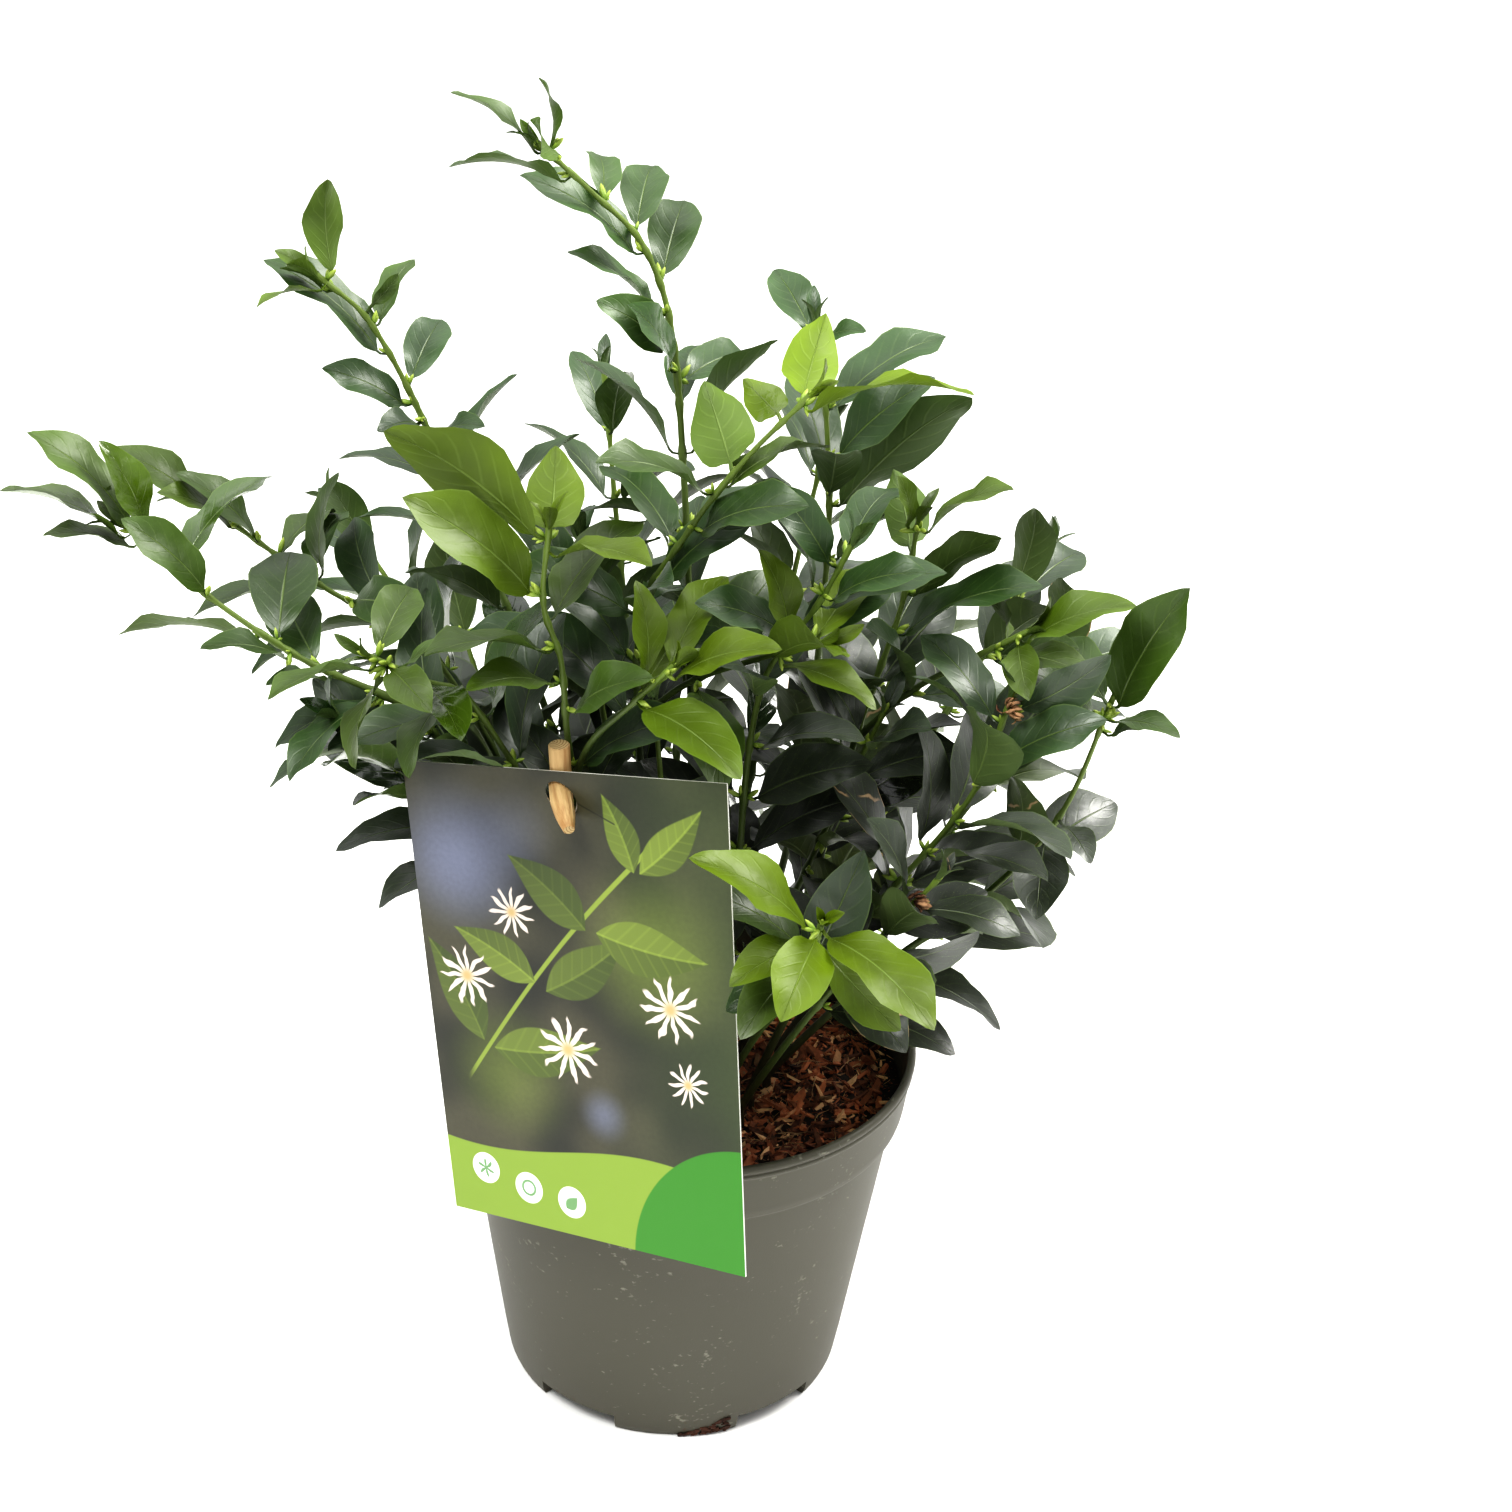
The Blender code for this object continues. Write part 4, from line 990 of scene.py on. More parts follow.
@dataclass(frozen=True)
class FloorFinish:
    """A pale matt studio floor."""

    pale: Colour = srgb(246, 246, 245)
    scale: float = 3.0
    least: float = 0.985
    dull: float = 0.9
    gloss: float = 0.1

    def make(self, effects: Effects) -> Material:
        """The material.

        Args:
            effects: The shared groups.

        Returns:
            The material.
        """
        floor = Finish("floor", effects)
        floor.set("Specular IOR Level", self.gloss)
        tone, _ = floor.grain(self.scale)
        darker = tuple(c * self.least for c in self.pale)
        return floor.done(floor.mix(tone, darker, self.pale), self.dull)


# Meshes


def new_object(name: str, mesh: bpy.types.Mesh) -> Object:
    """An object of a mesh, linked to the scene.

    Args:
        name: The object's name.
        mesh: Its mesh.

    Returns:
        The object.
    """
    made = bpy.data.objects.new(name, mesh)
    bpy.context.scene.collection.objects.link(made)
    return made


def mesh_of(name: str, points: list, faces: list) -> bpy.types.Mesh:
    """A mesh from points in mm.

    Args:
        name: The mesh's name.
        points: The vertices, in mm.
        faces: Tuples of vertex numbers.

    Returns:
        The mesh.
    """
    mesh = bpy.data.meshes.new(name)
    mesh.from_pydata([tuple(MM * c for c in point) for point in points], [], faces)
    return mesh


def solid(name: str, points: list, faces: list, *materials: Material) -> Object:
    """An object from points in mm and faces that look out.

    Args:
        name: The object's name.
        points: The vertices, in mm.
        faces: Tuples of vertex numbers.
        materials: The object's materials, in order.

    Returns:
        The object, linked to the scene.
    """
    mesh = mesh_of(name, points, faces)
    for material in materials:
        mesh.materials.append(material)
    return new_object(name, mesh)


def add_vectors(mesh: bpy.types.Mesh, label: str, vectors: list) -> None:
    """Stores a vector at each of a mesh's points."""
    stored = mesh.attributes.new(label, "FLOAT_VECTOR", "POINT")
    stored.data.foreach_set("vector", [c for vector in vectors for c in vector])


def points_object(name: str, points: list, values: dict[str, list]) -> Object:
    """An object of loose points in mm, with a vector of each name at each point.

    Args:
        name: The object's name.
        points: The points, in mm.
        values: Vectors by attribute name, one for each point.

    Returns:
        The object.
    """
    mesh = mesh_of(name, points, [])
    for label, vectors in values.items():
        add_vectors(mesh, label, vectors)
    return new_object(name, mesh)


def remove(*things: Object) -> None:
    """Removes helper objects."""
    for thing in things:
        bpy.data.objects.remove(thing, do_unlink=True)


def settle(piece: Object, drop: tuple[str, ...] = ()) -> None:
    """Turns a piece with modifiers into a plain mesh.

    Args:
        piece: The object.
        drop: Attributes that are no longer needed.
    """
    bpy.context.view_layer.update()
    depsgraph = bpy.context.evaluated_depsgraph_get()
    shape = piece.evaluated_get(depsgraph)
    mesh = bpy.data.meshes.new_from_object(shape, preserve_all_data_layers=True, depsgraph=depsgraph)
    piece.modifiers.clear()
    piece.data = mesh
    for label in drop:
        if label in mesh.attributes:
            mesh.attributes.remove(mesh.attributes[label])


def boolean(target: Object, others: list, operation: str) -> None:
    """Joins or cuts other objects with the target in one step, and removes them.

    Args:
        target: The object that is changed.
        others: The objects that it is joined with or cut by.
        operation: UNION or DIFFERENCE.
    """
    group = bpy.data.collections.new(target.name + "_others")
    bpy.context.scene.collection.children.link(group)
    for other in others:
        bpy.context.scene.collection.objects.unlink(other)
        group.objects.link(other)
    step = target.modifiers.new("joined", "BOOLEAN")
    step.operation = operation
    step.operand_type = "COLLECTION"
    step.collection = group
    step.solver = "EXACT"
    settle(target)
    remove(*others)
    bpy.data.collections.remove(group)


def smooth(piece: Object, angle: float = 32.0) -> None:
    """Smooth shading but for edges sharper than an angle in degrees."""
    piece.data.shade_smooth()
    piece.data.set_sharp_from_angle(angle=math.radians(angle))


def ring_faces(rings: int, sides: int) -> list:
    """The faces between rings of points that each run anticlockwise as seen from the last ring.

    Args:
        rings: The number of rings.
        sides: The points in each.

    Returns:
        The faces, as tuples of point numbers.
    """
    faces = []
    for ring in range(rings - 1):
        for k in range(sides):
            here, there = ring * sides + k, ring * sides + (k + 1) % sides
            faces.append((here, there, there + sides, here + sides))
    return faces


def circle(radius: float, sides: int) -> list[tuple[float, float]]:
    """The corners of an even polygon round the origin."""
    angles = [math.tau * k / sides for k in range(sides)]
    return [(radius * math.cos(angle), radius * math.sin(angle)) for angle in angles]


def lofted(name: str, rings: list[list], *materials: Material, ends_first: bool = True) -> Object:
    """A solid drawn through rings of points, its first and last ring filled.

    Args:
        name: The object's name.
        rings: Lists of equally many points in mm, anticlockwise as seen from the last ring.
        materials: The object's materials.
        ends_first: Whether its two ends come before its other faces, or after them.

    Returns:
        The object.
    """
    sides = len(rings[0])
    last = sides * (len(rings) - 1)
    ends = [tuple(reversed(range(sides))), tuple(range(last, last + sides))]
    walls = ring_faces(len(rings), sides)
    points = [point for ring in rings for point in ring]
    return solid(name, points, ends + walls if ends_first else walls + ends, *materials)


def turned(name: str, profile: list, sides: int, *materials: Material) -> Object:
    """A solid of revolution about Z.

    Args:
        name: The object's name.
        profile: Pairs of radius and height in mm, which start low with the outside on the right.
        sides: The number of sides.
        materials: The object's materials.

    Returns:
        The object, its first and last ring filled.
    """
    rings = [[(x, y, height) for x, y in circle(radius, sides)] for radius, height in profile]
    return lofted(name, rings, *materials)


def sector(name: str, radii: tuple[float, float], heights: tuple[float, float], middle: float,
           width: float, material: Material, steps: int = 10) -> Object:
    """A block between two radii and two heights.

    Args:
        name: The object's name.
        radii: The inner and the outer radius in mm.
        heights: The lower and the upper height in mm.
        middle: The turn of its middle, in degrees.
        width: Its width, in degrees.
        material: Its material.
        steps: The number of steps round.

    Returns:
        The block.
    """
    inner, outer = radii
    low, high = heights
    points = []
    for step in range(steps + 1):
        angle = math.radians(middle - width / 2.0 + width * step / steps)
        for radius, height in ((inner, low), (outer, low), (outer, high), (inner, high)):
            points.append((radius * math.cos(angle), radius * math.sin(angle), height))
    faces = [(0, 1, 2, 3), tuple(4 * steps + k for k in (3, 2, 1, 0))]
    for step in range(steps):
        for k in range(4):
            here, there = 4 * step + k, 4 * step + (k + 1) % 4
            faces.append((here, here + 4, there + 4, there))
    return solid(name, points, faces, material)


def rounded(profile: list, radius: float) -> list:
    """A profile with each inner corner cut to a small arc of three points.

    Args:
        profile: Pairs of radius and height in mm.
        radius: How far from the corner the arc starts, in mm.

    Returns:
        The finer profile.
    """
    finer = [profile[0]]
    for before, corner, after in zip(profile, profile[1:], profile[2:]):
        start, middle, end = Vector(before), Vector(corner), Vector(after)
        back = min(radius, (start - middle).length * 0.4)
        ahead = min(radius, (end - middle).length * 0.4)
        first = middle + (start - middle).normalized() * back
        last = middle + (end - middle).normalized() * ahead
        top = first * 0.25 + middle * 0.5 + last * 0.25
        finer += [tuple(first), tuple(top), tuple(last)]
    return finer + [profile[-1]]


def show(piece: Object, slot: Slot, *nodes: str) -> None:
    """Hands a finished piece to the frame.

    Args:
        piece: The object.
        slot: The record's slot for the piece; not used.
        nodes: The CAD nodes that it stands for.
    """
    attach(piece, BODY)
    if nodes:
        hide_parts(*nodes)
    log.info("%s: %d faces", piece.name, len(piece.data.polygons))


class GeometryTree(Graph):
    """A Geometry Nodes tree with named inputs."""

    def __init__(self, name: str, takes: dict[str, object]) -> None:
        """Makes the tree's sockets.

        Args:
            name: The tree's name.
            takes: The inputs' names with a first value, a number, or the word Object or Material.
        """
        super().__init__(bpy.data.node_groups.new(name, "GeometryNodeTree"))
        sockets = self.tree.interface
        sockets.new_socket("Geometry", in_out="INPUT", socket_type="NodeSocketGeometry")
        sockets.new_socket("Geometry", in_out="OUTPUT", socket_type="NodeSocketGeometry")
        for label, value in takes.items():
            if isinstance(value, str):
                sockets.new_socket(label, in_out="INPUT", socket_type="NodeSocket" + value)
            else:
                kind = "NodeSocketInt" if isinstance(value, int) else "NodeSocketFloat"
                sockets.new_socket(label, in_out="INPUT", socket_type=kind).default_value = value
        self.source = self.add("NodeGroupInput")
        self.sink = self.add("NodeGroupOutput")

    def takes(self, label: str) -> Wire:
        """One of the tree's inputs."""
        return Wire(self, self.source.outputs[label])

    def read(self, name: str) -> Wire:
        """A vector attribute by its name."""
        return self.wire("GeometryNodeInputNamedAttribute", {"Name": name}, data_type="FLOAT_VECTOR")

    def chance(self, low: float, high: float, seed: int) -> Wire:
        """A random number for each point, between two numbers."""
        inputs = {2: low, 3: high, "Seed": seed}
        return self.wire("FunctionNodeRandomValue", inputs, 1, data_type="FLOAT")

    def shape(self, label: str) -> Wire:
        """The geometry of an object that is one of the tree's inputs."""
        return self.wire("GeometryNodeObjectInfo", {"Object": self.takes(label)}, "Geometry")

    def aim(self, name: str) -> Wire:
        """The rotation that turns Z to a vector attribute."""
        inputs = {"Vector": self.read(name)}
        return self.wire("FunctionNodeAlignRotationToVector", inputs, axis="Z")

    def strew(self, points: Wire, shape: Wire, turn: Wire | None = None, size: Wire | None = None) -> Wire:
        """Sets a shape on points.

        Args:
            points: The points.
            shape: The shape's geometry.
            turn: The shape's rotation.
            size: The shape's scale.

        Returns:
            The instances.
        """
        inputs = {"Points": points, "Instance": shape, "Rotation": turn, "Scale": size}
        chosen = {label: value for label, value in inputs.items() if value}
        return self.wire("GeometryNodeInstanceOnPoints", chosen)

    def ends(self, *branches: Wire) -> None:
        """Joins the branches into the tree's output.

        Args:
            branches: The branches' geometry.
        """
        joined = self.add("GeometryNodeJoinGeometry")
        for branch in branches:
            self.plug(branch, joined.inputs[0])
        self.plug(Wire(self, joined.outputs[0]), self.sink.inputs[0])

    def dress(self, geometry: Wire, material: Wire, even: bool = True) -> Wire:
        """Makes a branch's instances real, and gives it smooth or flat faces and its material.

        Args:
            geometry: The branch.
            material: Its material.
            even: Whether its faces are smooth.

        Returns:
            The finished branch.
        """
        real = self.wire("GeometryNodeRealizeInstances", {"Geometry": geometry})
        shaded = self.wire("GeometryNodeSetShadeSmooth", {"Geometry": real, "Shade Smooth": even})
        return self.wire("GeometryNodeSetMaterial", {"Geometry": shaded, "Material": material})

    def apply(self, piece: Object, values: dict[str, object]) -> None:
        """Adds the tree to an object as a modifier, its inputs set by their identifiers.

        Args:
            piece: The object.
            values: The inputs' values by label.
        """
        modifier = piece.modifiers.new(self.tree.name, "NODES")
        modifier.node_group = self.tree
        for item in self.tree.interface.items_tree:
            if item.in_out == "INPUT" and item.name in values:
                modifier[item.identifier] = values[item.name]


# Foliage


@dataclass(frozen=True)
class Stem:
    """One stem as the part has it: its route in mm, its side shoots' routes, how bright its young
    leaves are from 0 to 1, and how far from its tip they reach in mm."""

    route: tuple[Point, ...]
    shoots: tuple[tuple[Point, ...], ...] = ()
    youth: float = 0.25
    reach: float = 60.0

    @property
    def routes(self) -> tuple[tuple[Point, ...], ...]:
        """Its own route and its side shoots' routes."""
        return self.route, *self.shoots


def rooted(x: float, y: float, *route: Point) -> tuple[Point, ...]:
    """The route of a stem that stands upright in the compost at x, y."""
    return ((x, y, 106.0), (x, y, 131.0), (x, y, 137.0), *route)


STEMS = {
    "stem_tall": Stem(rooted(
        5, 10, (2, 12, 210), (-2, 12, 310), (-7, 20, 386), (-14, 25, 443), (-25, 22, 472), (-41, 15, 490),
        (-60, 5, 510)), youth=0.45, reach=70.0),
    "stem_back_left": Stem(rooted(
        -14, 18, (-38, 28, 215), (-69, 40, 304), (-105, 50, 386), (-126, 44, 431), (-143, 38, 449)),
        youth=0.62, reach=40.0),
    "stem_left_arch": Stem(rooted(
        -24, 2, (-52, -8, 215), (-102, -20, 298), (-144, -28, 325), (-177, -30, 350), (-205, -30, 376)),
        youth=0.66, reach=110.0),
    "stem_left_upper": Stem(rooted(
        -27, 15, (-62, 14, 235), (-106, 20, 312), (-140, 20, 331), (-187, 20, 366)), youth=0.7, reach=90.0),
    "stem_left_front": Stem(rooted(
        -20, -14, (-45, -32, 240), (-81, -50, 322), (-97, -60, 334), (-114, -70, 347)),
        youth=0.66, reach=80.0),
    "stem_centre_front": Stem(rooted(
        -10, -22, (-30, -38, 220), (-45, -50, 305), (-48, -54, 341), (-54, -60, 365), (-52, -64, 395)),
        (((-43, -48, 290), (-36, -60, 312), (-22, -70, 332), (-8, -76, 350)),), youth=0.92, reach=75.0),
    "stem_right_centre": Stem(rooted(
        3, -7, (-14, -12, 230), (-21, -20, 342), (-4, -32, 383), (15, -42, 415), (35, -52, 442)),
        (((-19, -15, 300), (-2, -30, 322), (22, -46, 340), (44, -56, 352)),), youth=0.95, reach=70.0),
    "stem_back_right": Stem(rooted(20, 22, (42, 50, 220), (51, 70, 330), (48, 78, 385), (42, 80, 422))),
    "stem_right": Stem(rooted(23, 5, (45, 2, 205), (64, 0, 294), (76, 0, 341), (80, -4, 378)),
                       (((62, 0, 285), (80, -12, 312), (102, -22, 332), (120, -28, 346)),), youth=0.7),
    "stem_far_right": Stem(rooted(
        35, -9, (75, -15, 190), (117, -20, 233), (141, -20, 267), (155, -25, 319)), youth=0.6, reach=50.0),
    "stem_low_right": Stem(rooted(28, -20, (52, -32, 205), (80, -40, 247), (104, -50, 292), (114, -50, 329))),
    "stem_front_right": Stem(rooted(15, -30, (29, -48, 182), (44, -75, 222), (47, -115, 271)),
                             youth=1.0, reach=70.0),
    "stem_mid_right": Stem(rooted(12, -15, (18, -30, 215), (24, -40, 325), (44, -45, 364), (53, -45, 384))),
    "stem_inner_right": Stem(rooted(14, 2, (36, -8, 205), (56, -22, 270), (70, -30, 312)), youth=0.1),
    "stem_inner_front": Stem(rooted(2, -31, (-2, -44, 195), (-8, -50, 260), (-14, -52, 322)), youth=0.1),
    "stem_low_front": Stem(rooted(24, -33, (46, -52, 190), (70, -68, 236), (90, -76, 268)), youth=0.1),
    "stem_low_left": Stem(rooted(-34, -8, (-66, -12, 222), (-104, -22, 275), (-130, -34, 304))),
    "stem_inner_left": Stem(rooted(-6, 0, (-20, 0, 220), (-36, 2, 300), (-44, 0, 362))),
    "stem_back_centre": Stem(rooted(-5, 30, (-18, 58, 220), (-32, 88, 320), (-40, 100, 392))),
    "stem_back_mid": Stem(rooted(9, 34, (22, 68, 215), (40, 108, 310), (52, 124, 366))),
    "stem_back_far_right": Stem(rooted(30, 30, (68, 60, 205), (112, 86, 270), (140, 96, 324))),
    "stem_back_far_left": Stem(rooted(-28, 30, (-66, 58, 215), (-112, 84, 285), (-146, 98, 332))),
    "stem_side_right": Stem(rooted(40, 12, (84, 28, 200), (124, 40, 258), (150, 50, 312))),
    "stem_back_low": Stem(rooted(0, 46, (-4, 88, 195), (-10, 132, 252), (-12, 156, 292))),
    "stem_back_low_right": Stem(rooted(27, 44, (54, 90, 185), (80, 132, 232), (94, 154, 272))),
    "stem_back_low_left": Stem(rooted(-30, 44, (-60, 86, 185), (-90, 126, 236), (-106, 146, 276))),
}


def ending(route: tuple[Point, ...]) -> tuple[Vector, Vector]:
    """A route's last point, and its direction there."""
    end = Vector(route[-1])
    return end, (end - Vector(route[-2])).normalized()


def smooth_route(route: tuple[Point, ...], per_span: int = 10) -> list[Vector]:
    """A smooth curve through a route's points, with no overshoot where they lie unevenly.

    Args:
        route: The route's points, in mm.
        per_span: The steps from one point to the next.

    Returns:
        The curve's points, in mm.
    """
    knots = [Vector(point) for point in route]
    last = len(knots) - 1
    slopes = []
    for i in range(last + 1):
        low, high = max(i - 1, 0), min(i + 1, last)
        run = sum((knots[k + 1] - knots[k]).length for k in range(low, high))
        slopes.append((knots[high] - knots[low]) / run)
    points = []
    for i in range(last):
        here, there = knots[i], knots[i + 1]
        span = (there - here).length
        for step in range(per_span):
            t = step / per_span
            leave = slopes[i] * (t * (1.0 - t) ** 2 * span)
            arrive = slopes[i + 1] * (t * t * (1.0 - t) * span)
            points.append(here.lerp(there, t * t * (3.0 - 2.0 * t)) + leave - arrive)
    return points + [knots[-1]]


@dataclass
class LeafPlace:
    """A leaf as the part has it, in mm: the stem's face that it grows from, its blade's start,
    chord and upper normal, its width by its length, and its margin's wave."""

    root: Vector
    start: Vector
    chord: Vector
    normal: Vector
    ratio: float
    wave: tuple[float, float, float]


@dataclass(frozen=True)
class LeafForm:
    """The rule of the part's leaves: how the half width runs from base to tip, and how the blade
    arches, folds and waves."""

    widest: float = 0.44
    fullness: float = 0.64
    fold: float = 0.26
    arch: float = 0.10
    wave: float = 0.035
    shown_wave: tuple[float, float] = (0.46, 0.60)
    inner_wave: tuple[float, float] = (0.26, 0.88)
    petiole: float = 5.5
    thickness: float = 1.4

    @property
    def fall(self) -> float:
        """The power of the outline towards the tip."""
        return self.fullness * (1.0 - self.widest) / self.widest

    @property
    def peak(self) -> float:
        """The plain outline's greatest value."""
        return self.widest ** self.fullness * (1.0 - self.widest) ** self.fall

    def outline(self, share: float) -> float:
        """The half width at a share of the length, 1 where it is widest."""
        return share ** self.fullness * (1.0 - share) ** self.fall / self.peak


class LeafReader:
    """Reads the leaves' places off a stem's CAD node: every leaf ends in a point with four edges."""

    def __init__(self, form: LeafForm) -> None:
        """Holds the rule of the leaves."""
        self.form = form

    def read(self, node: Object) -> list[LeafPlace]:
        """Every leaf of a node.

        Args:
            node: The node.

        Returns:
            The leaves' places.
        """
        skin = bmesh.new()
        skin.from_mesh(node.data)
        bmesh.ops.remove_doubles(skin, verts=skin.verts, dist=1e-6)
        skin.verts.index_update()
        places = []
        for tip in skin.verts:
            loops = self.walk(tip) if len(tip.link_edges) == 4 else []
            if len(loops) >= 3:
                places.append(self.place(tip.co / MM, loops))
        skin.free()
        return places

    @staticmethod
    def walk(tip: bmesh.types.BMVert) -> list[list]:
        """Goes from a leaf's tip down to the stem.

        Args:
            tip: The leaf's tip, which has four edges.

        Returns:
            The loops of four points on the way, each in the mesh's order.
        """
        loops, seen = [], {tip}
        loop = {edge.other_vert(tip) for edge in tip.link_edges}
        while len(loop) == 4:
            loops.append(sorted(loop, key=lambda vert: vert.index))
            seen |= loop
            loop = {edge.other_vert(vert) for vert in loop for edge in vert.link_edges} - seen
        return loops

    def section(self, loop: list) -> tuple[Vector, Vector, list[Vector]]:
        """A loop's middle, its upper normal, and its two side points.

        Args:
            loop: The loop's four points.

        Returns:
            The middle, the normal and the side points, in mm.
        """
        points = [v.co / MM for v in loop]
        pairs = [(a, b) for i, a in enumerate(points) for b in points[i + 1:]]
        first, second = min(pairs, key=lambda pair: abs((pair[0] - pair[1]).length - self.form.thickness))
        sides = [p for p in points if p is not first and p is not second]
        middle = (first + second) / 2.0
        normal = (first - second).normalized()
        if normal.dot(sum(sides, Vector()) / 2.0 - middle) < 0.0:
            normal.negate()
        return middle, normal, sides

    def place(self, tip: Vector, loops: list[list]) -> LeafPlace:
        """The leaf of a tip and its loops.

        Args:
            tip: The leaf's tip, in mm.
            loops: Its loops, from the tip down.

        Returns:
            The leaf's place.
        """
        form = self.form
        shown = len(loops) > 3
        station, period = form.shown_wave if shown else form.inner_wave
        middle, normal, sides = self.section(loops[1])
        if shown:
            start = sum((v.co / MM for v in loops[3]), Vector()) / 4.0
        else:
            start = middle
            for _ in range(4):
                rise = form.arch * (tip - start).length * 4.0 * station * (1.0 - station)
                start = (middle - tip * station - normal * rise) / (1.0 - station)
        chord = tip - start
        normal = (normal - normal.dot(chord) / chord.length_squared * chord).normalized()
        across = chord.normalized().cross(normal)
        right, left = sorted(sides, key=lambda p: -(p - middle).dot(across))
        half = (right - left).dot(across) / 2.0 / form.outline(station)
        ripple = (right - left).dot(normal) / 2.0 / (form.wave * chord.length)
        if len(loops) == 4:
            root = start - chord.normalized() * form.petiole
        else:
            root = sum((v.co / MM for v in loops[-1]), Vector()) / 4.0
        return LeafPlace(root, start, chord, normal, 2.0 * half / chord.length, (ripple, station, period))


@dataclass(frozen=True)
class LeafLook:
    """How a leaf looks where it grows, in mm: young near the stems' tips, older lower down, younger and
    lighter high up as painted sheen, old and worn at the lower right, wet at the left, and darkened deep
    inside as painted shade."""

    low_right: float = 250.0
    low_left: float = 200.0
    low_span: float = 110.0
    low_gain: float = 0.40
    # high, high_gain: the top leaves get a younger, lighter tint, which paints the sheen they catch.
    high: tuple[float, float] = (380.0, 500.0)
    high_gain: float = 0.14
    age_spread: float = 0.06
    old_from: float = 20.0
    old_below: float = 300.0
    old_youth: float = 0.9
    fuller: float = 1.16
    worn: float = 0.22
    freckles: tuple[float, float] = (0.12, 0.42)
    wet_left: float = -60.0
    wet_front: float = -20.0
    wet: tuple[float, float] = (0.05, 0.25)
    # inside, under: where the painted shade deep inside the bush starts and where it is full, by distance
    # from the axis and by height.
    inside: tuple[float, float] = (120.0, 60.0)
    under: tuple[float, float] = (330.0, 240.0)

    def is_old(self, root: Vector, stem: Stem) -> bool:
        """Whether a leaf is one of the old ones at the lower right."""
        return root.x > self.old_from and root.z < self.old_below and stem.youth < self.old_youth

    def tone(self, root: Vector, stem: Stem, rng: random.Random) -> tuple[tuple, tuple]:
        """A leaf's looks.

        Args:
            root: Where the leaf grows.
            stem: Its stem.
            rng: The source of chance.

        Returns:
            Its age, chance and wetness, and its worn marks, freckles and painted shade deep inside, as the
            leaf's finish reads them.
        """
        tips = [Vector(route[-1]) for route in stem.routes]
        near = max(0.0, 1.0 - min((root - tip).length for tip in tips) / stem.reach)
        foot = self.low_right if root.x > 10.0 else self.low_left
        low = self.low_gain * ramp(root.z, foot, foot + self.low_span)
        # high_gain lifts the top leaves to a younger, lighter tint: painted sheen.
        age = low + self.high_gain * ramp(root.z, *self.high) + max(stem.youth - low, 0.0) * near ** 0.7
        age = min(max(age + rng.uniform(-self.age_spread, self.age_spread), 0.0), 1.0)
        old = self.is_old(root, stem)
        worn = 1.0 if old and rng.random() < self.worn else 0.0
        often = self.wet[root.x < self.wet_left and root.y < self.wet_front]
        wet = rng.uniform(0.5, 1.0) if rng.random() < often else 0.0
        # deep: painted shade for leaves low and deep inside the bush, less on young leaves near the tips.
        deep = ramp(math.hypot(root.x, root.y), *self.inside) * ramp(root.z, *self.under)
        deep *= 1.0 - min(near * stem.youth * 2.0, 1.0)
        return (age, rng.random(), wet), (worn, self.freckles[old], deep)


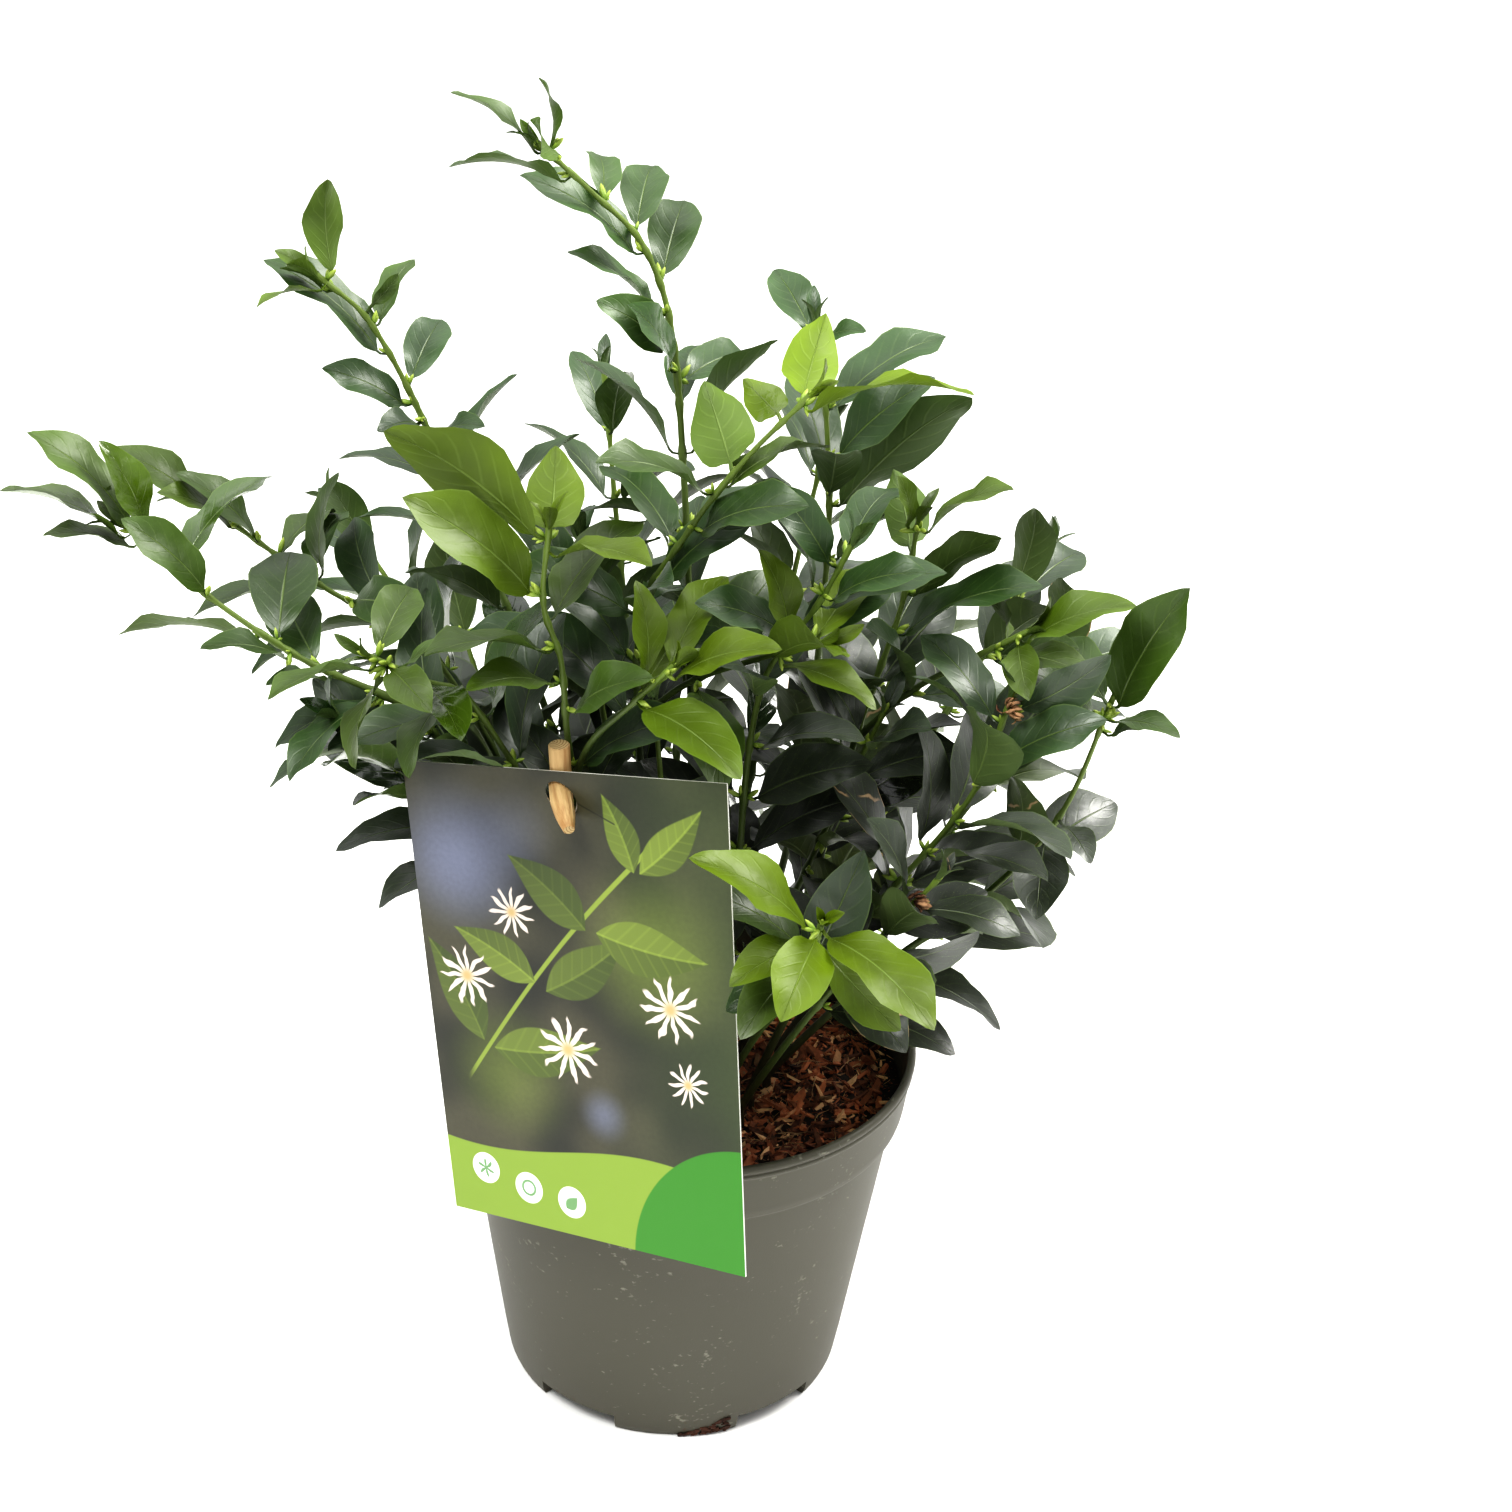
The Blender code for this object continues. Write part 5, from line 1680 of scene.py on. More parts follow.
@dataclass
class Foliage:
    """Every stem with its leaves and buds, each stem one piece that stands for its CAD node."""

    form: LeafForm = field(default_factory=LeafForm)
    drawn: LeafForm = field(default_factory=lambda: LeafForm(widest=0.52, fullness=0.77))
    look: LeafLook = field(default_factory=LeafLook)
    roots: list[Vector] = field(default_factory=list)
    foot_radius: float = 2.0
    shoot_radius: float = 1.4
    tip_radius: float = 0.85
    swelling: float = 0.45
    sides: int = 8
    ring_step: float = 2.5
    blade_half: float = 0.20
    foot_half: float = 0.32
    foot_width: float = 0.75
    stalk_bend: float = 0.45
    bud_length: float = 5.2
    bud_share: float = 0.8
    bud_numbers: tuple[int, ...] = (2, 2, 3, 4)
    bud_sizes: tuple[float, float] = (0.55, 1.15)
    bud_shape: Point = (0.8, 0.8, 1.15)
    bud_rise: tuple[float, float] = (-0.3, 1.2)
    bud_spread: float = 0.6
    bud_lift: float = 0.6
    bud_out: float = 1.2
    tip_bud: Point = (4.5, 4.5, 5.5)
    tip_leaf: tuple[float, float] = (9.0, 17.0)
    tip_ratio: tuple[float, float] = (0.30, 0.42)
    tip_spread: tuple[float, float] = (18.0, 40.0)
    tip_turn: float = 2.2
    tip_stalk: float = 1.8
    tip_ripple: float = 0.6
    tip_past: float = 1.5
    tip_leaves_each: int = 3
    rings: tuple[float, ...] = (-1.0, -0.45, 0.0, 0.04, 0.10, 0.18, 0.28, 0.39, 0.50, 0.61, 0.71, 0.80,
                                0.87, 0.93, 0.97)

    def blade(self) -> Object:
        """The leaf that every leaf is shaped from. Its points keep their share along the blade,
        below 0 in the petiole, their share across it, and their side, above 0 on top.

        Returns:
            The leaf.
        """
        around = ((1.0, 0.0), (0.55, 0.5), (0.0, 0.45), (-0.55, 0.5),
                  (-1.0, 0.0), (-0.55, -0.5), (0.0, -1.3), (0.55, -0.5))
        marks = [(across, along, side) for along in self.rings for across, side in around]
        marks.append((0.0, 1.0, 0.0))
        count = len(around)
        faces = []
        for a, b, c, d in ring_faces(len(self.rings), count):
            inner_first = abs(marks[a][0]) < abs(marks[b][0])
            faces += [(c, b, a), (d, c, a)] if inner_first else [(d, b, a), (d, c, b)]
        last = count * (len(self.rings) - 1)
        faces += [(last + (k + 1) % count, last + k, len(marks) - 1) for k in range(count)]
        faces.append(tuple(range(count)))
        made = solid("blade", marks, faces)
        add_vectors(made.data, "blade", [(along, across, side) for across, along, side in marks])
        for edge in made.data.edges:
            ends = [marks[v] for v in edge.vertices]
            edge.use_edge_sharp = all(abs(mark[0]) == 1.0 or mark[1] == 1.0 for mark in ends)
        return made

    @staticmethod
    def bud() -> Object:
        """A small pointed bud along Z, 1 mm long, its points with their share along it.

        Returns:
            The bud.
        """
        sides = 6
        profile = ((0.10, 0.0), (0.20, 0.18), (0.26, 0.50), (0.16, 0.82), (0.03, 1.0))
        made = turned("bud", profile, sides)
        add_vectors(made.data, "blade", [(height, 0.0, 0.0) for _, height in profile for _ in range(sides)])
        return made

    def leaf_position(self, tree: GeometryTree) -> Wire:
        """Where a point of a leaf lies, from the leaf's measures and the point's own shares.

        Args:
            tree: The Geometry Nodes tree that the sums go into.

        Returns:
            The position, in metres.
        """
        form = self.drawn
        along, across, side = tree.parts(tree.read("blade"))
        root, start, chord, normal = (tree.read(label) for label in ("root", "start", "chord", "upper"))
        ratio, chance, _ = tree.parts(tree.read("shape"))
        wave, phase, period = tree.parts(tree.read("wave"))
        share, petiole = tree.most(along, 0.0), tree.least(along, 0.0) + 1.0
        length = tree.maths("LENGTH", chord)
        way = tree.maths("NORMALIZE", chord)
        aside = tree.maths("CROSS_PRODUCT", way, normal)
        plain = share ** form.fullness * (1.0 - share) ** form.fall / form.peak
        drawn = 1.0 - tree.ease(share, 0.70, 1.0) * tree.takes("Drip tip")
        wide = ratio * length * 0.5 * plain * drawn + (1.0 - share) ** 4.0 * (self.foot_width * MM)
        free = tree.ease(share, 0.0, 0.12)
        turn = (share - phase) / period * math.tau
        ripple = tree.maths("COSINE", turn) * wave * length * form.wave * tree.fade(share, 0.84, 1.0)
        frill = tree.maths("SINE", (share * 3.3 + chance) * math.tau) * length * tree.takes("Frill")
        edge = abs(across)
        lift = wide * form.fold * edge ** 1.4 + ripple * across + frill * edge * edge
        thick = side * (self.blade_half * MM + (1.0 - share) ** 3.0 * (self.foot_half * MM))
        spine = start + chord * share + normal * (length * share * (1.0 - share) * (4.0 * form.arch))
        bend = start - (way + normal * 0.4) * (tree.maths("DISTANCE", root, start) * self.stalk_bend)
        stalk = (root * ((1.0 - petiole) * (1.0 - petiole)) + bend * (petiole * (1.0 - petiole) * 2.0)
                 + start * (petiole * petiole))
        return spine + stalk - start + aside * (wide * across) + normal * (lift * free + thick)

    def tree(self) -> GeometryTree:
        """The tree that grows a stem's tube, leaves and buds along its route.

        Returns:
            The tree.
        """
        tree = GeometryTree("leafy stem", {
            "Blade": "Object", "Bud": "Object", "Leaf places": "Object", "Bud places": "Object",
            "Leaf": "Material", "Stem": "Material", "Bud skin": "Material", "Sides": self.sides,
            "Ring step": self.ring_step * MM, "Swelling": self.swelling, "Drip tip": 0.22, "Frill": 0.009})
        leaf_places, bud_places = tree.shape("Leaf places"), tree.shape("Bud places")
        route = tree.wire("GeometryNodeMeshToCurve", {"Mesh": tree.takes("Geometry")})
        even = tree.wire("GeometryNodeResampleCurve", {"Curve": route, "Length": tree.takes("Ring step")},
                         mode="LENGTH")
        inputs = {"Resolution": tree.takes("Sides"), "Radius": 1.0}
        round_profile = tree.wire("GeometryNodeCurvePrimitiveCircle", inputs)
        near = tree.wire("GeometryNodeProximity", {0: leaf_places}, "Distance", target_element="POINTS")
        swell = 1.0 + tree.fade(near, 0.8 * MM, 4.0 * MM) * tree.takes("Swelling")
        girth = tree.parts(tree.read("girth"))[0]
        tube = tree.wire("GeometryNodeCurveToMesh", {
            "Curve": even, "Profile Curve": round_profile, "Scale": girth * swell, "Fill Caps": True})
        leaves = tree.strew(leaf_places, tree.shape("Blade"))
        leaves = tree.wire("GeometryNodeRealizeInstances", {"Geometry": leaves})
        inputs = {"Geometry": leaves, "Position": self.leaf_position(tree)}
        leaves = tree.wire("GeometryNodeSetPosition", inputs)
        buds = tree.strew(bud_places, tree.shape("Bud"), tree.aim("way"), tree.read("size"))
        tree.ends(tree.dress(tube, tree.takes("Stem")), tree.dress(leaves, tree.takes("Leaf")),
                  tree.dress(buds, tree.takes("Bud skin")))
        return tree

    def route_object(self, name: str, stem: Stem, rng: random.Random) -> Object:
        """The stem's and its side shoots' centre lines, with their radius and height along them.

        Args:
            name: The CAD node's name.
            stem: The stem.
            rng: The source of chance.

        Returns:
            The object of the lines.
        """
        points, edges, girths, tones = [], [], [], []
        chance = rng.random()
        for index, route in enumerate(stem.routes):
            line = smooth_route(route)
            line.append(line[-1] + (line[-1] - line[-2]).normalized() * self.tip_past)
            radius = self.shoot_radius if index else self.foot_radius
            run = sum((b - a).length for a, b in zip(line, line[1:]))
            gone = 0.0
            for k, point in enumerate(line):
                if k:
                    gone += (point - line[k - 1]).length
                    edges.append((len(points) - 1, len(points)))
                share = gone / run
                points.append(point)
                girths.append((MM * (radius + (self.tip_radius - radius) * share), 0.0, 0.0))
                tones.append((max(share, 0.5 * index), chance, 0.0))
        mesh = bpy.data.meshes.new(name)
        mesh.from_pydata([MM * point for point in points], edges, [])
        add_vectors(mesh, "girth", girths)
        add_vectors(mesh, "tone", tones)
        return new_object(name + "_grown", mesh)

    def leaf_points(self, places: list[LeafPlace], stem: Stem, rng: random.Random) -> Object:
        """The leaves' roots as points, with every measure that shapes and tints a leaf.

        Args:
            places: The leaves.
            stem: Their stem.
            rng: The source of chance.

        Returns:
            The object of loose points.
        """
        rows = []
        for leaf in places:
            fuller = self.look.fuller if self.look.is_old(leaf.root, stem) else 1.0
            shape = (leaf.ratio * fuller, rng.random(), 0.0)
            ends = (leaf.root * MM, leaf.start * MM, leaf.chord * MM)
            rows.append((*ends, leaf.normal, shape, leaf.wave, *self.look.tone(leaf.root, stem, rng)))
        # The last label holds the worn marks, the freckles and the painted shade deep inside.
        labels = ("root", "start", "chord", "upper", "shape", "wave", "tone", "wear")
        return points_object("leaf_places", [leaf.root for leaf in places], dict(zip(labels, zip(*rows))))

    def bud_points(self, places: list[LeafPlace], stem: Stem, rng: random.Random) -> Object:
        """Small clusters of buds in the leaves' axils, and one bud on each tip.

        Args:
            places: The leaves.
            stem: The stem.
            rng: The source of chance.

        Returns:
            The object of loose points.
        """
        points, ways, scales = [], [], []
        for place in places:
            if rng.random() > self.bud_share:
                continue
            out = (place.start - place.root).normalized()
            for _ in range(rng.choice(self.bud_numbers)):
                rise = place.normal * rng.uniform(*self.bud_rise)
                aside = Vector([rng.uniform(-self.bud_spread, self.bud_spread) for _ in range(3)])
                size = self.bud_length * rng.uniform(*self.bud_sizes)
                foot = place.root + place.normal * self.bud_lift
                points.append(foot + out * rng.uniform(0.0, self.bud_out))
                ways.append((out + rise + aside).normalized())
                scales.append(tuple(size * share for share in self.bud_shape))
        for route in stem.routes:
            end, ahead = ending(route)
            points.append(end)
            ways.append(ahead)
            scales.append(self.tip_bud)
        return points_object("bud_places", points, {"way": ways, "size": scales})

    def tip_leaves(self, stem: Stem, rng: random.Random) -> list[LeafPlace]:
        """The small leaves that unfold at each tip of a stem.

        Args:
            stem: The stem.
            rng: The source of chance.

        Returns:
            Their places.
        """
        places = []
        for route in stem.routes:
            end, ahead = ending(route)
            aside = ahead.orthogonal().normalized()
            first = rng.uniform(0.0, math.tau)
            for k in range(self.tip_leaves_each):
                spread = math.radians(rng.uniform(*self.tip_spread))
                out = Matrix.Rotation(first + k * self.tip_turn, 3, ahead) @ aside
                way = ahead * math.cos(spread) + out * math.sin(spread)
                upper = (ahead - way * ahead.dot(way)).normalized()
                chord = way * rng.uniform(*self.tip_leaf)
                ratio = rng.uniform(*self.tip_ratio)
                wave = (rng.uniform(-self.tip_ripple, self.tip_ripple), *self.form.shown_wave)
                places.append(LeafPlace(end, end + way * self.tip_stalk, chord, upper, ratio, wave))
        return places

    def hold(self, piece: Object, box: list[list[float]]) -> None:
        """Draws what stands out of the CAD model's box onto the box's side."""
        for vertex in piece.data.vertices:
            vertex.co = [min(max(c, low), high) for c, low, high in zip(vertex.co, *box)]

    def build(self, nodes: dict, box: list[list[float]], effects: Effects) -> None:
        """Grows every stem on its CAD node, inside the CAD model's box.

        Args:
            nodes: The CAD nodes by name.
            box: The CAD model's box, as its two corners.
            effects: The shared groups.
        """
        reader = LeafReader(self.form)
        rng = random.Random(SEED)
        tree, blade, bud = self.tree(), self.blade(), self.bud()
        skins = {"Leaf": LeafFinish().make(effects), "Stem": StemFinish().make(effects),
                 "Bud skin": BudFinish().make(effects)}
        for name, stem in STEMS.items():
            places = reader.read(nodes[name])
            self.roots += [place.root for place in places]
            piece = self.route_object(name, stem, rng)
            leaf_places = self.leaf_points(places + self.tip_leaves(stem, rng), stem, rng)
            bud_places = self.bud_points(places, stem, rng)
            tree.apply(piece, {"Blade": blade, "Bud": bud, "Leaf places": leaf_places,
                               "Bud places": bud_places, **skins})
            settle(piece, ("root", "start", "chord", "upper", "shape", "wave", "girth", "way", "size"))
            remove(leaf_places, bud_places)
            self.hold(piece, box)
            show(piece, Slot.LEAF, name)
        remove(blade, bud)


@dataclass
class DriedFlowers:
    """Withered flowers that still hang in two axils, in mm."""

    spots: tuple[Point, ...] = ((114.0, -50.0, 325.0), (74.0, -70.0, 262.0))
    petals: int = 18
    longest: float = 7.5
    lengths: tuple[float, float] = (0.5, 1.0)
    curl: float = 2.1
    beside: Point = (0.0, -3.0, 2.0)
    lean: Point = (0.0, -0.6, 0.5)
    reach: tuple[float, float] = (0.5, 3.5)

    def petal(self) -> Object:
        """A narrow petal along Z, 1 mm long before it is scaled, curled towards X.

        Returns:
            The petal.
        """
        sections = ((0.0, 0.05), (0.3, 0.13), (0.6, 0.17), (0.85, 0.10), (1.0, 0.02))
        rings = []
        for along, half in sections:
            angle = self.curl * along
            x, z = (1.0 - math.cos(angle)) / self.curl, math.sin(angle) / self.curl
            rings.append([(x - side * math.cos(angle), half * across, z + side * math.sin(angle))
                          for across, side in ((1.0, 0.0), (0.0, 0.03), (-1.0, 0.0), (0.0, -0.03))])
        return lofted("petal", rings)

    def build(self, roots: list[Vector], effects: Effects) -> None:
        """Hangs the flowers in the axils nearest the spots.

        Args:
            roots: The places where leaves grow.
            effects: The shared groups.
        """
        rng = random.Random(SEED)
        points, ways, sizes = [], [], []
        for spot in self.spots:
            root = min(roots, key=lambda place: (place - Vector(spot)).length)
            for _ in range(self.petals):
                way = (Vector([rng.gauss(0.0, 1.0) for _ in range(3)]) + Vector(self.lean)).normalized()
                points.append(root + Vector(self.beside) + way * rng.uniform(*self.reach))
                ways.append(way)
                sizes.append([self.longest * rng.uniform(*self.lengths)] * 3)
        piece = points_object("dried_flowers", points, {"way": ways, "size": sizes})
        petal = self.petal()
        tree = GeometryTree("dried flowers", {"Petal": "Object", "Husk": "Material"})
        petals = tree.strew(tree.takes("Geometry"), tree.shape("Petal"), tree.aim("way"), tree.read("size"))
        tree.ends(tree.dress(petals, tree.takes("Husk")))
        tree.apply(piece, {"Petal": petal, "Husk": HuskFinish().make(effects)})
        settle(piece, ("way", "size"))
        remove(petal)
        show(piece, Slot.LEAF)


# Pot and compost


@dataclass
class Pot:
    """The nursery pot, in mm: a turned shell with arches raised between its feet."""

    rim_radius: float = 95.0
    height: float = 149.0
    wall: float = 1.3
    floor: float = 1.6
    collar_foot: float = 121.0
    collar_radius: float = 91.6
    top_radius: float = 87.2
    low_radius: float = 71.9
    low_height: float = 16.0
    base_radius: float = 68.6
    sides: int = 96
    arch_turns: tuple[float, ...] = (20.5, 92.5, 164.5, 236.5, 308.5)
    arch_width: float = 30.0
    arch_height: float = 7.0
    arch_depth: float = 60.0
    arch_skin: float = 1.8
    slot_width: float = 14.0
    slot_in: float = 6.0
    slot_foot: float = 2.6
    cut_past: float = 8.0

    def profile(self) -> list:
        """The shell's profile: up its outside, over the lip and down its inside.

        Returns:
            Pairs of radius and height, in mm.
        """
        rim, top, collar = self.rim_radius, self.height, self.collar_foot
        outside = [
            (self.base_radius, 0.0), (self.base_radius + 1.1, 2.5), (self.low_radius, self.low_height),
            (self.top_radius, collar - 1.2), (self.top_radius + 0.9, collar),
            (self.collar_radius - 0.9, collar + 1.6), (self.collar_radius, collar + 5.0),
            (rim - 1.2, top - 6.0), (rim - 0.4, top - 5.2), (rim - 0.5, top - 4.2), (rim - 1.0, top - 3.7),
            (rim, top - 2.7), (rim - 0.1, top - 1.2), (rim - 1.3, top),
        ]
        inside = [
            (rim - 2.9, top - 0.2), (rim - 3.6, top - 1.6), (self.collar_radius - self.wall, collar + 6.0),
            (self.top_radius - self.wall, collar), (self.low_radius - self.wall, self.low_height),
            (self.base_radius - self.wall, self.floor),
        ]
        return rounded(outside + inside, 0.9)

    def inner_radius(self, height: float) -> float:
        """The radius of the pot's inside at a height.

        Args:
            height: The height, in mm.

        Returns:
            The radius, in mm.
        """
        low, high = (self.low_radius, self.low_height), (self.top_radius, self.collar_foot)
        if height > high[1]:
            low, high = high, (self.collar_radius, self.collar_foot + 6.0)
        share = min((height - low[1]) / (high[1] - low[1]), 1.0)
        return low[0] + (high[0] - low[0]) * share - self.wall

    def build(self, effects: Effects) -> None:
        """Turns the shell and cuts its feet and slots.

        Args:
            effects: The shared groups.
        """
        skin = PotFinish().make(effects)
        pot = turned("pot_shell", self.profile(), self.sides, skin)
        wide = self.arch_width + 2.0 * math.degrees(self.arch_skin / self.base_radius)
        radii = (self.arch_depth - self.arch_skin, self.base_radius - 0.4)
        heights = (self.floor / 2.0, self.arch_height + self.arch_skin)
        boolean(pot, [sector("arch", radii, heights, turn, wide, skin) for turn in self.arch_turns], "UNION")
        past = self.cut_past
        under = ((self.arch_depth, self.base_radius + past), (-past, self.arch_height), self.arch_width)
        slot_radii = (self.arch_depth - past, self.base_radius - self.slot_in)
        slot = (slot_radii, (self.slot_foot, self.arch_height + past), self.slot_width)
        cuts = [sector("cut", radii, heights, turn, width, skin)
                for turn in self.arch_turns for radii, heights, width in (under, slot)]
        boolean(pot, cuts, "DIFFERENCE")
        smooth(pot, 40.0)
        show(pot, Slot.POT, "pot")


@dataclass
class Compost:
    """The compost: a lumpy body that follows the CAD solid, strewn with bark chips and fibres."""

    pot: Pot
    top: float = 128.0
    gap: float = 0.4
    rings: int = 30
    sides: int = 96
    lumps: float = 1.1
    dip: float = 6.0
    peat_tone: float = 0.3
    chips: float = 230000.0
    fibres: float = 16000.0
    longest: float = 14.0
    shortest: float = 0.16
    rarity: float = 2.6
    small_at: float = 2.0
    full_at: float = 9.0
    smallest: float = 0.25
    chip_width: tuple[float, float] = (0.08, 0.34)
    chip_thickness: tuple[float, float] = (0.07, 0.20)
    chip_tilt: float = 0.6
    fibre_least: float = 8.0
    fibre_spread: float = 14.0
    fibre_tilt: float = 0.25
    fallen: int = 44
    fallen_from: float = 2.0
    fallen_to: float = 24.0
    fallen_high: float = 8.0
    fallen_long: tuple[float, float] = (1.5, 4.0)
    fallen_width: tuple[float, float] = (0.25, 0.5)
    fallen_lean: tuple[float, float] = (1.1, 1.5)
    fallen_spin: tuple[float, float] = (-0.9, 0.3)
    fallen_off: float = 0.9
    wall_slope: float = 0.16
    # Lightness of each bark material. The chips in the pot are made far lighter than the fallen crumbs on the
    # floor: painted light for chips in the leaves' shade.
    peat_shade: float = 0.2
    bark_lightness_with_painted_light: float = 2.15
    fallen_shade: float = 0.8
    hair_shade: float = 1.0
    hair_pale: float = 0.55

    def body(self, node: Object, skin: Material) -> Object:
        """The closed body, its top read off the CAD node with finer lumps added.

        Args:
            node: The compost's CAD node.
            skin: Its material.

        Returns:
            The body, with `bed` above 0 where chips may lie.
        """
        pot = self.pot
        points = [v.co / MM for v in node.data.vertices]
        search = BVHTree.FromPolygons(points, [tuple(f.vertices) for f in node.data.polygons])
        base = pot.base_radius - pot.wall - self.gap
        roof = pot.arch_height + pot.arch_skin + self.gap
        heights = (pot.floor + self.gap, roof, roof + 0.6, pot.low_height, pot.collar_foot,
                   pot.collar_foot + 6.0, self.top - 0.6)
        profile = [(base, heights[0]), (base + 1.5, heights[1]), (base + 1.6, heights[2])]
        profile += [(pot.inner_radius(height) - self.gap, height) for height in heights[3:]]
        wall = profile[-1][0]
        profile += [(wall * (1.0 - ring / self.rings) ** 0.8, self.top) for ring in range(1, self.rings)]
        rings, bed = [], []
        for radius, height in profile:
            ring = []
            for k in range(self.sides):
                angle = math.tau * k / self.sides
                if height <= roof:
                    arched = self.over_arch(math.degrees(angle))
                    radius = pot.arch_depth - pot.arch_skin - self.gap if arched else base
                x, y = radius * math.cos(angle), radius * math.sin(angle)
                ring.append((x, y, self.relief(search, x, y) if height == self.top else height))
            rings.append(ring)
            bed += [(float(height == self.top), 0.0, 0.0)] * self.sides
        body = lofted("compost", rings, skin)
        add_vectors(body.data, "bed", bed)
        add_vectors(body.data, "tone", [(self.peat_tone, 0.0, 0.0)] * len(bed))
        smooth(body)
        return body

    def relief(self, search: BVHTree, x: float, y: float) -> float:
        """The height of the compost's top at a place.

        Args:
            search: The CAD solid's faces.
            x: The place's x.
            y: The place's y.

        Returns:
            The solid's own height there, with finer lumps added.
        """
        hit = search.ray_cast(Vector((x, y, self.pot.height)), Vector((0.0, 0.0, -1.0)))[0]
        height = hit.z if hit and hit.z > self.top - self.dip else self.top
        coarse = noise.noise(Vector((x, y, 0.0)) * 0.16)
        fine = noise.noise(Vector((x, y, 9.0)) * 0.5)
        return height + self.lumps * coarse + 0.5 * self.lumps * fine

    def over_arch(self, turn: float) -> bool:
        """Whether the compost stands back at a turn in degrees, to clear a foot's arch.

        Args:
            turn: The turn, in degrees.

        Returns:
            True where it stands back.
        """
        pot = self.pot
        half = pot.arch_width / 2.0 + math.degrees((pot.arch_skin + self.gap) / pot.base_radius)
        return any(abs((turn - middle + 180.0) % 360.0 - 180.0) < half + 2.0 for middle in pot.arch_turns)

    @staticmethod
    def chip() -> Object:
        """A splinter about 1 mm long, wide and thick, with uneven corners.

        Returns:
            The chip.
        """
        rng = random.Random(SEED)
        corners = ((-0.5, -0.18), (-0.1, -0.5), (0.42, -0.4), (0.5, 0.2), (0.05, 0.5), (-0.4, 0.36))
        rings = [[(x + rng.uniform(-0.1, 0.1), y + rng.uniform(-0.12, 0.12), height * rng.uniform(0.6, 1.0))
                  for x, y in corners] for height in (-0.5, 0.5)]
        return lofted("chip", rings)

    @staticmethod
    def fibre() -> Object:
        """A thin bent hair along X, 1 mm long before it is scaled.

        Returns:
            The hair.
        """
        rings = []
        for step in range(7):
            x = step / 6.0 - 0.5
            bow, dip = 0.20 * math.cos(x * 5.0), 0.06 * math.sin(x * 7.0)
            rings.append([(x, bow + side, dip + rise) for side, rise in circle(0.016, 3)])
        return lofted("fibre", rings)

    def tree(self) -> GeometryTree:
        """The tree that strews chips and fibres over the bed.

        Returns:
            The tree.
        """
        tree = GeometryTree("bark bed", {
            "Chip": "Object", "Fibre": "Object", "Bark": "Material", "Hair": "Material",
            "Chips": self.chips, "Fibres": self.fibres, "Longest": self.longest, "Wall": 0.0, "Seed": SEED})
        bed = tree.takes("Geometry")
        open_bed = tree.maths("GREATER_THAN", tree.parts(tree.read("bed"))[0], 0.9)
        branches = [bed]
        for label, density, skin in (("Chip", "Chips", "Bark"), ("Fibre", "Fibres", "Hair")):
            inputs = {"Mesh": bed, "Selection": open_bed, "Density": tree.takes(density),
                      "Seed": tree.takes("Seed")}
            points = tree.wire("GeometryNodeDistributePointsOnFaces", inputs)
            x, y, _ = tree.parts(tree.wire("GeometryNodeInputPosition"))
            room = tree.takes("Wall") - tree.maths("LENGTH", tree.join(x, y, 0.0))
            grown = tree.ease(room, self.small_at * MM, self.full_at * MM)
            near_wall = self.smallest + grown * (1.0 - self.smallest)
            size = tree.chance(0.0, 1.0, 3)
            if label == "Chip":
                share = self.shortest + size ** self.rarity * (1.0 - self.shortest)
                long = share * tree.takes("Longest") * near_wall
                wide, thick = tree.chance(*self.chip_width, 4), tree.chance(*self.chip_thickness, 5)
                scale = tree.join(long, long * wide, long * thick)
                tilt = self.chip_tilt
            else:
                long = (self.fibre_least + size * self.fibre_spread) * near_wall
                scale = tree.join(long, long, long)
                tilt = self.fibre_tilt
            turn = tree.join(tree.chance(-tilt, tilt, 6), tree.chance(-tilt, tilt, 7),
                             tree.chance(0.0, math.tau, 8))
            lying = tree.strew(points, tree.shape(label), turn, scale)
            tone = tree.join(tree.chance(0.0, 1.0, 9), tree.chance(0.0, 1.0, 10), 0.0)
            inputs = {"Geometry": lying, "Name": "tone", "Value": tone}
            tinted = tree.wire("GeometryNodeStoreNamedAttribute", inputs,
                               data_type="FLOAT_VECTOR", domain="INSTANCE")
            branches.append(tree.dress(tinted, tree.takes(skin), False))
        tree.ends(*branches)
        return tree

    def crumbs(self, chip: Object, bark: Material) -> None:
        """Heaps the chips that fell through a slot in a wedge against the front foot's right end.

        Args:
            chip: The chip's shape.
            bark: The crumbs' material.
        """
        rng = random.Random(SEED)
        shape = chip.data
        points, faces, tones = [], [], []
        for _ in range(self.fallen):
            long = rng.uniform(*self.fallen_long)
            share = rng.random() ** 0.7
            x = self.fallen_from + (self.fallen_to - self.fallen_from) * share
            z = 0.6 + rng.random() * self.fallen_high * share ** 1.8
            lean = Matrix.Rotation(rng.uniform(*self.fallen_lean), 3, "X")
            spin = Matrix.Rotation(rng.uniform(*self.fallen_spin), 3, "Y")
            turn = spin @ lean @ Matrix.Diagonal((long, long * rng.uniform(*self.fallen_width), 1.0))
            radius = self.pot.base_radius + self.fallen_off + self.wall_slope * z
            place = Vector((x, -math.sqrt(radius ** 2 - x * x), z))
            faces += [tuple(len(points) + v for v in face.vertices) for face in shape.polygons]
            spots = [place + turn @ (vertex.co / MM) for vertex in shape.vertices]
            points += [(spot.x, spot.y, max(spot.z, 0.0)) for spot in spots]
            tone = (rng.uniform(0.0, 0.5) * max(1.0 - share * 1.4, 0.0), rng.random() * 0.7, 0.0)
            tones += [tone] * len(shape.vertices)
        piece = solid("crumbs", points, faces, bark)
        add_vectors(piece.data, "tone", tones)
        show(piece, Slot.SOIL)

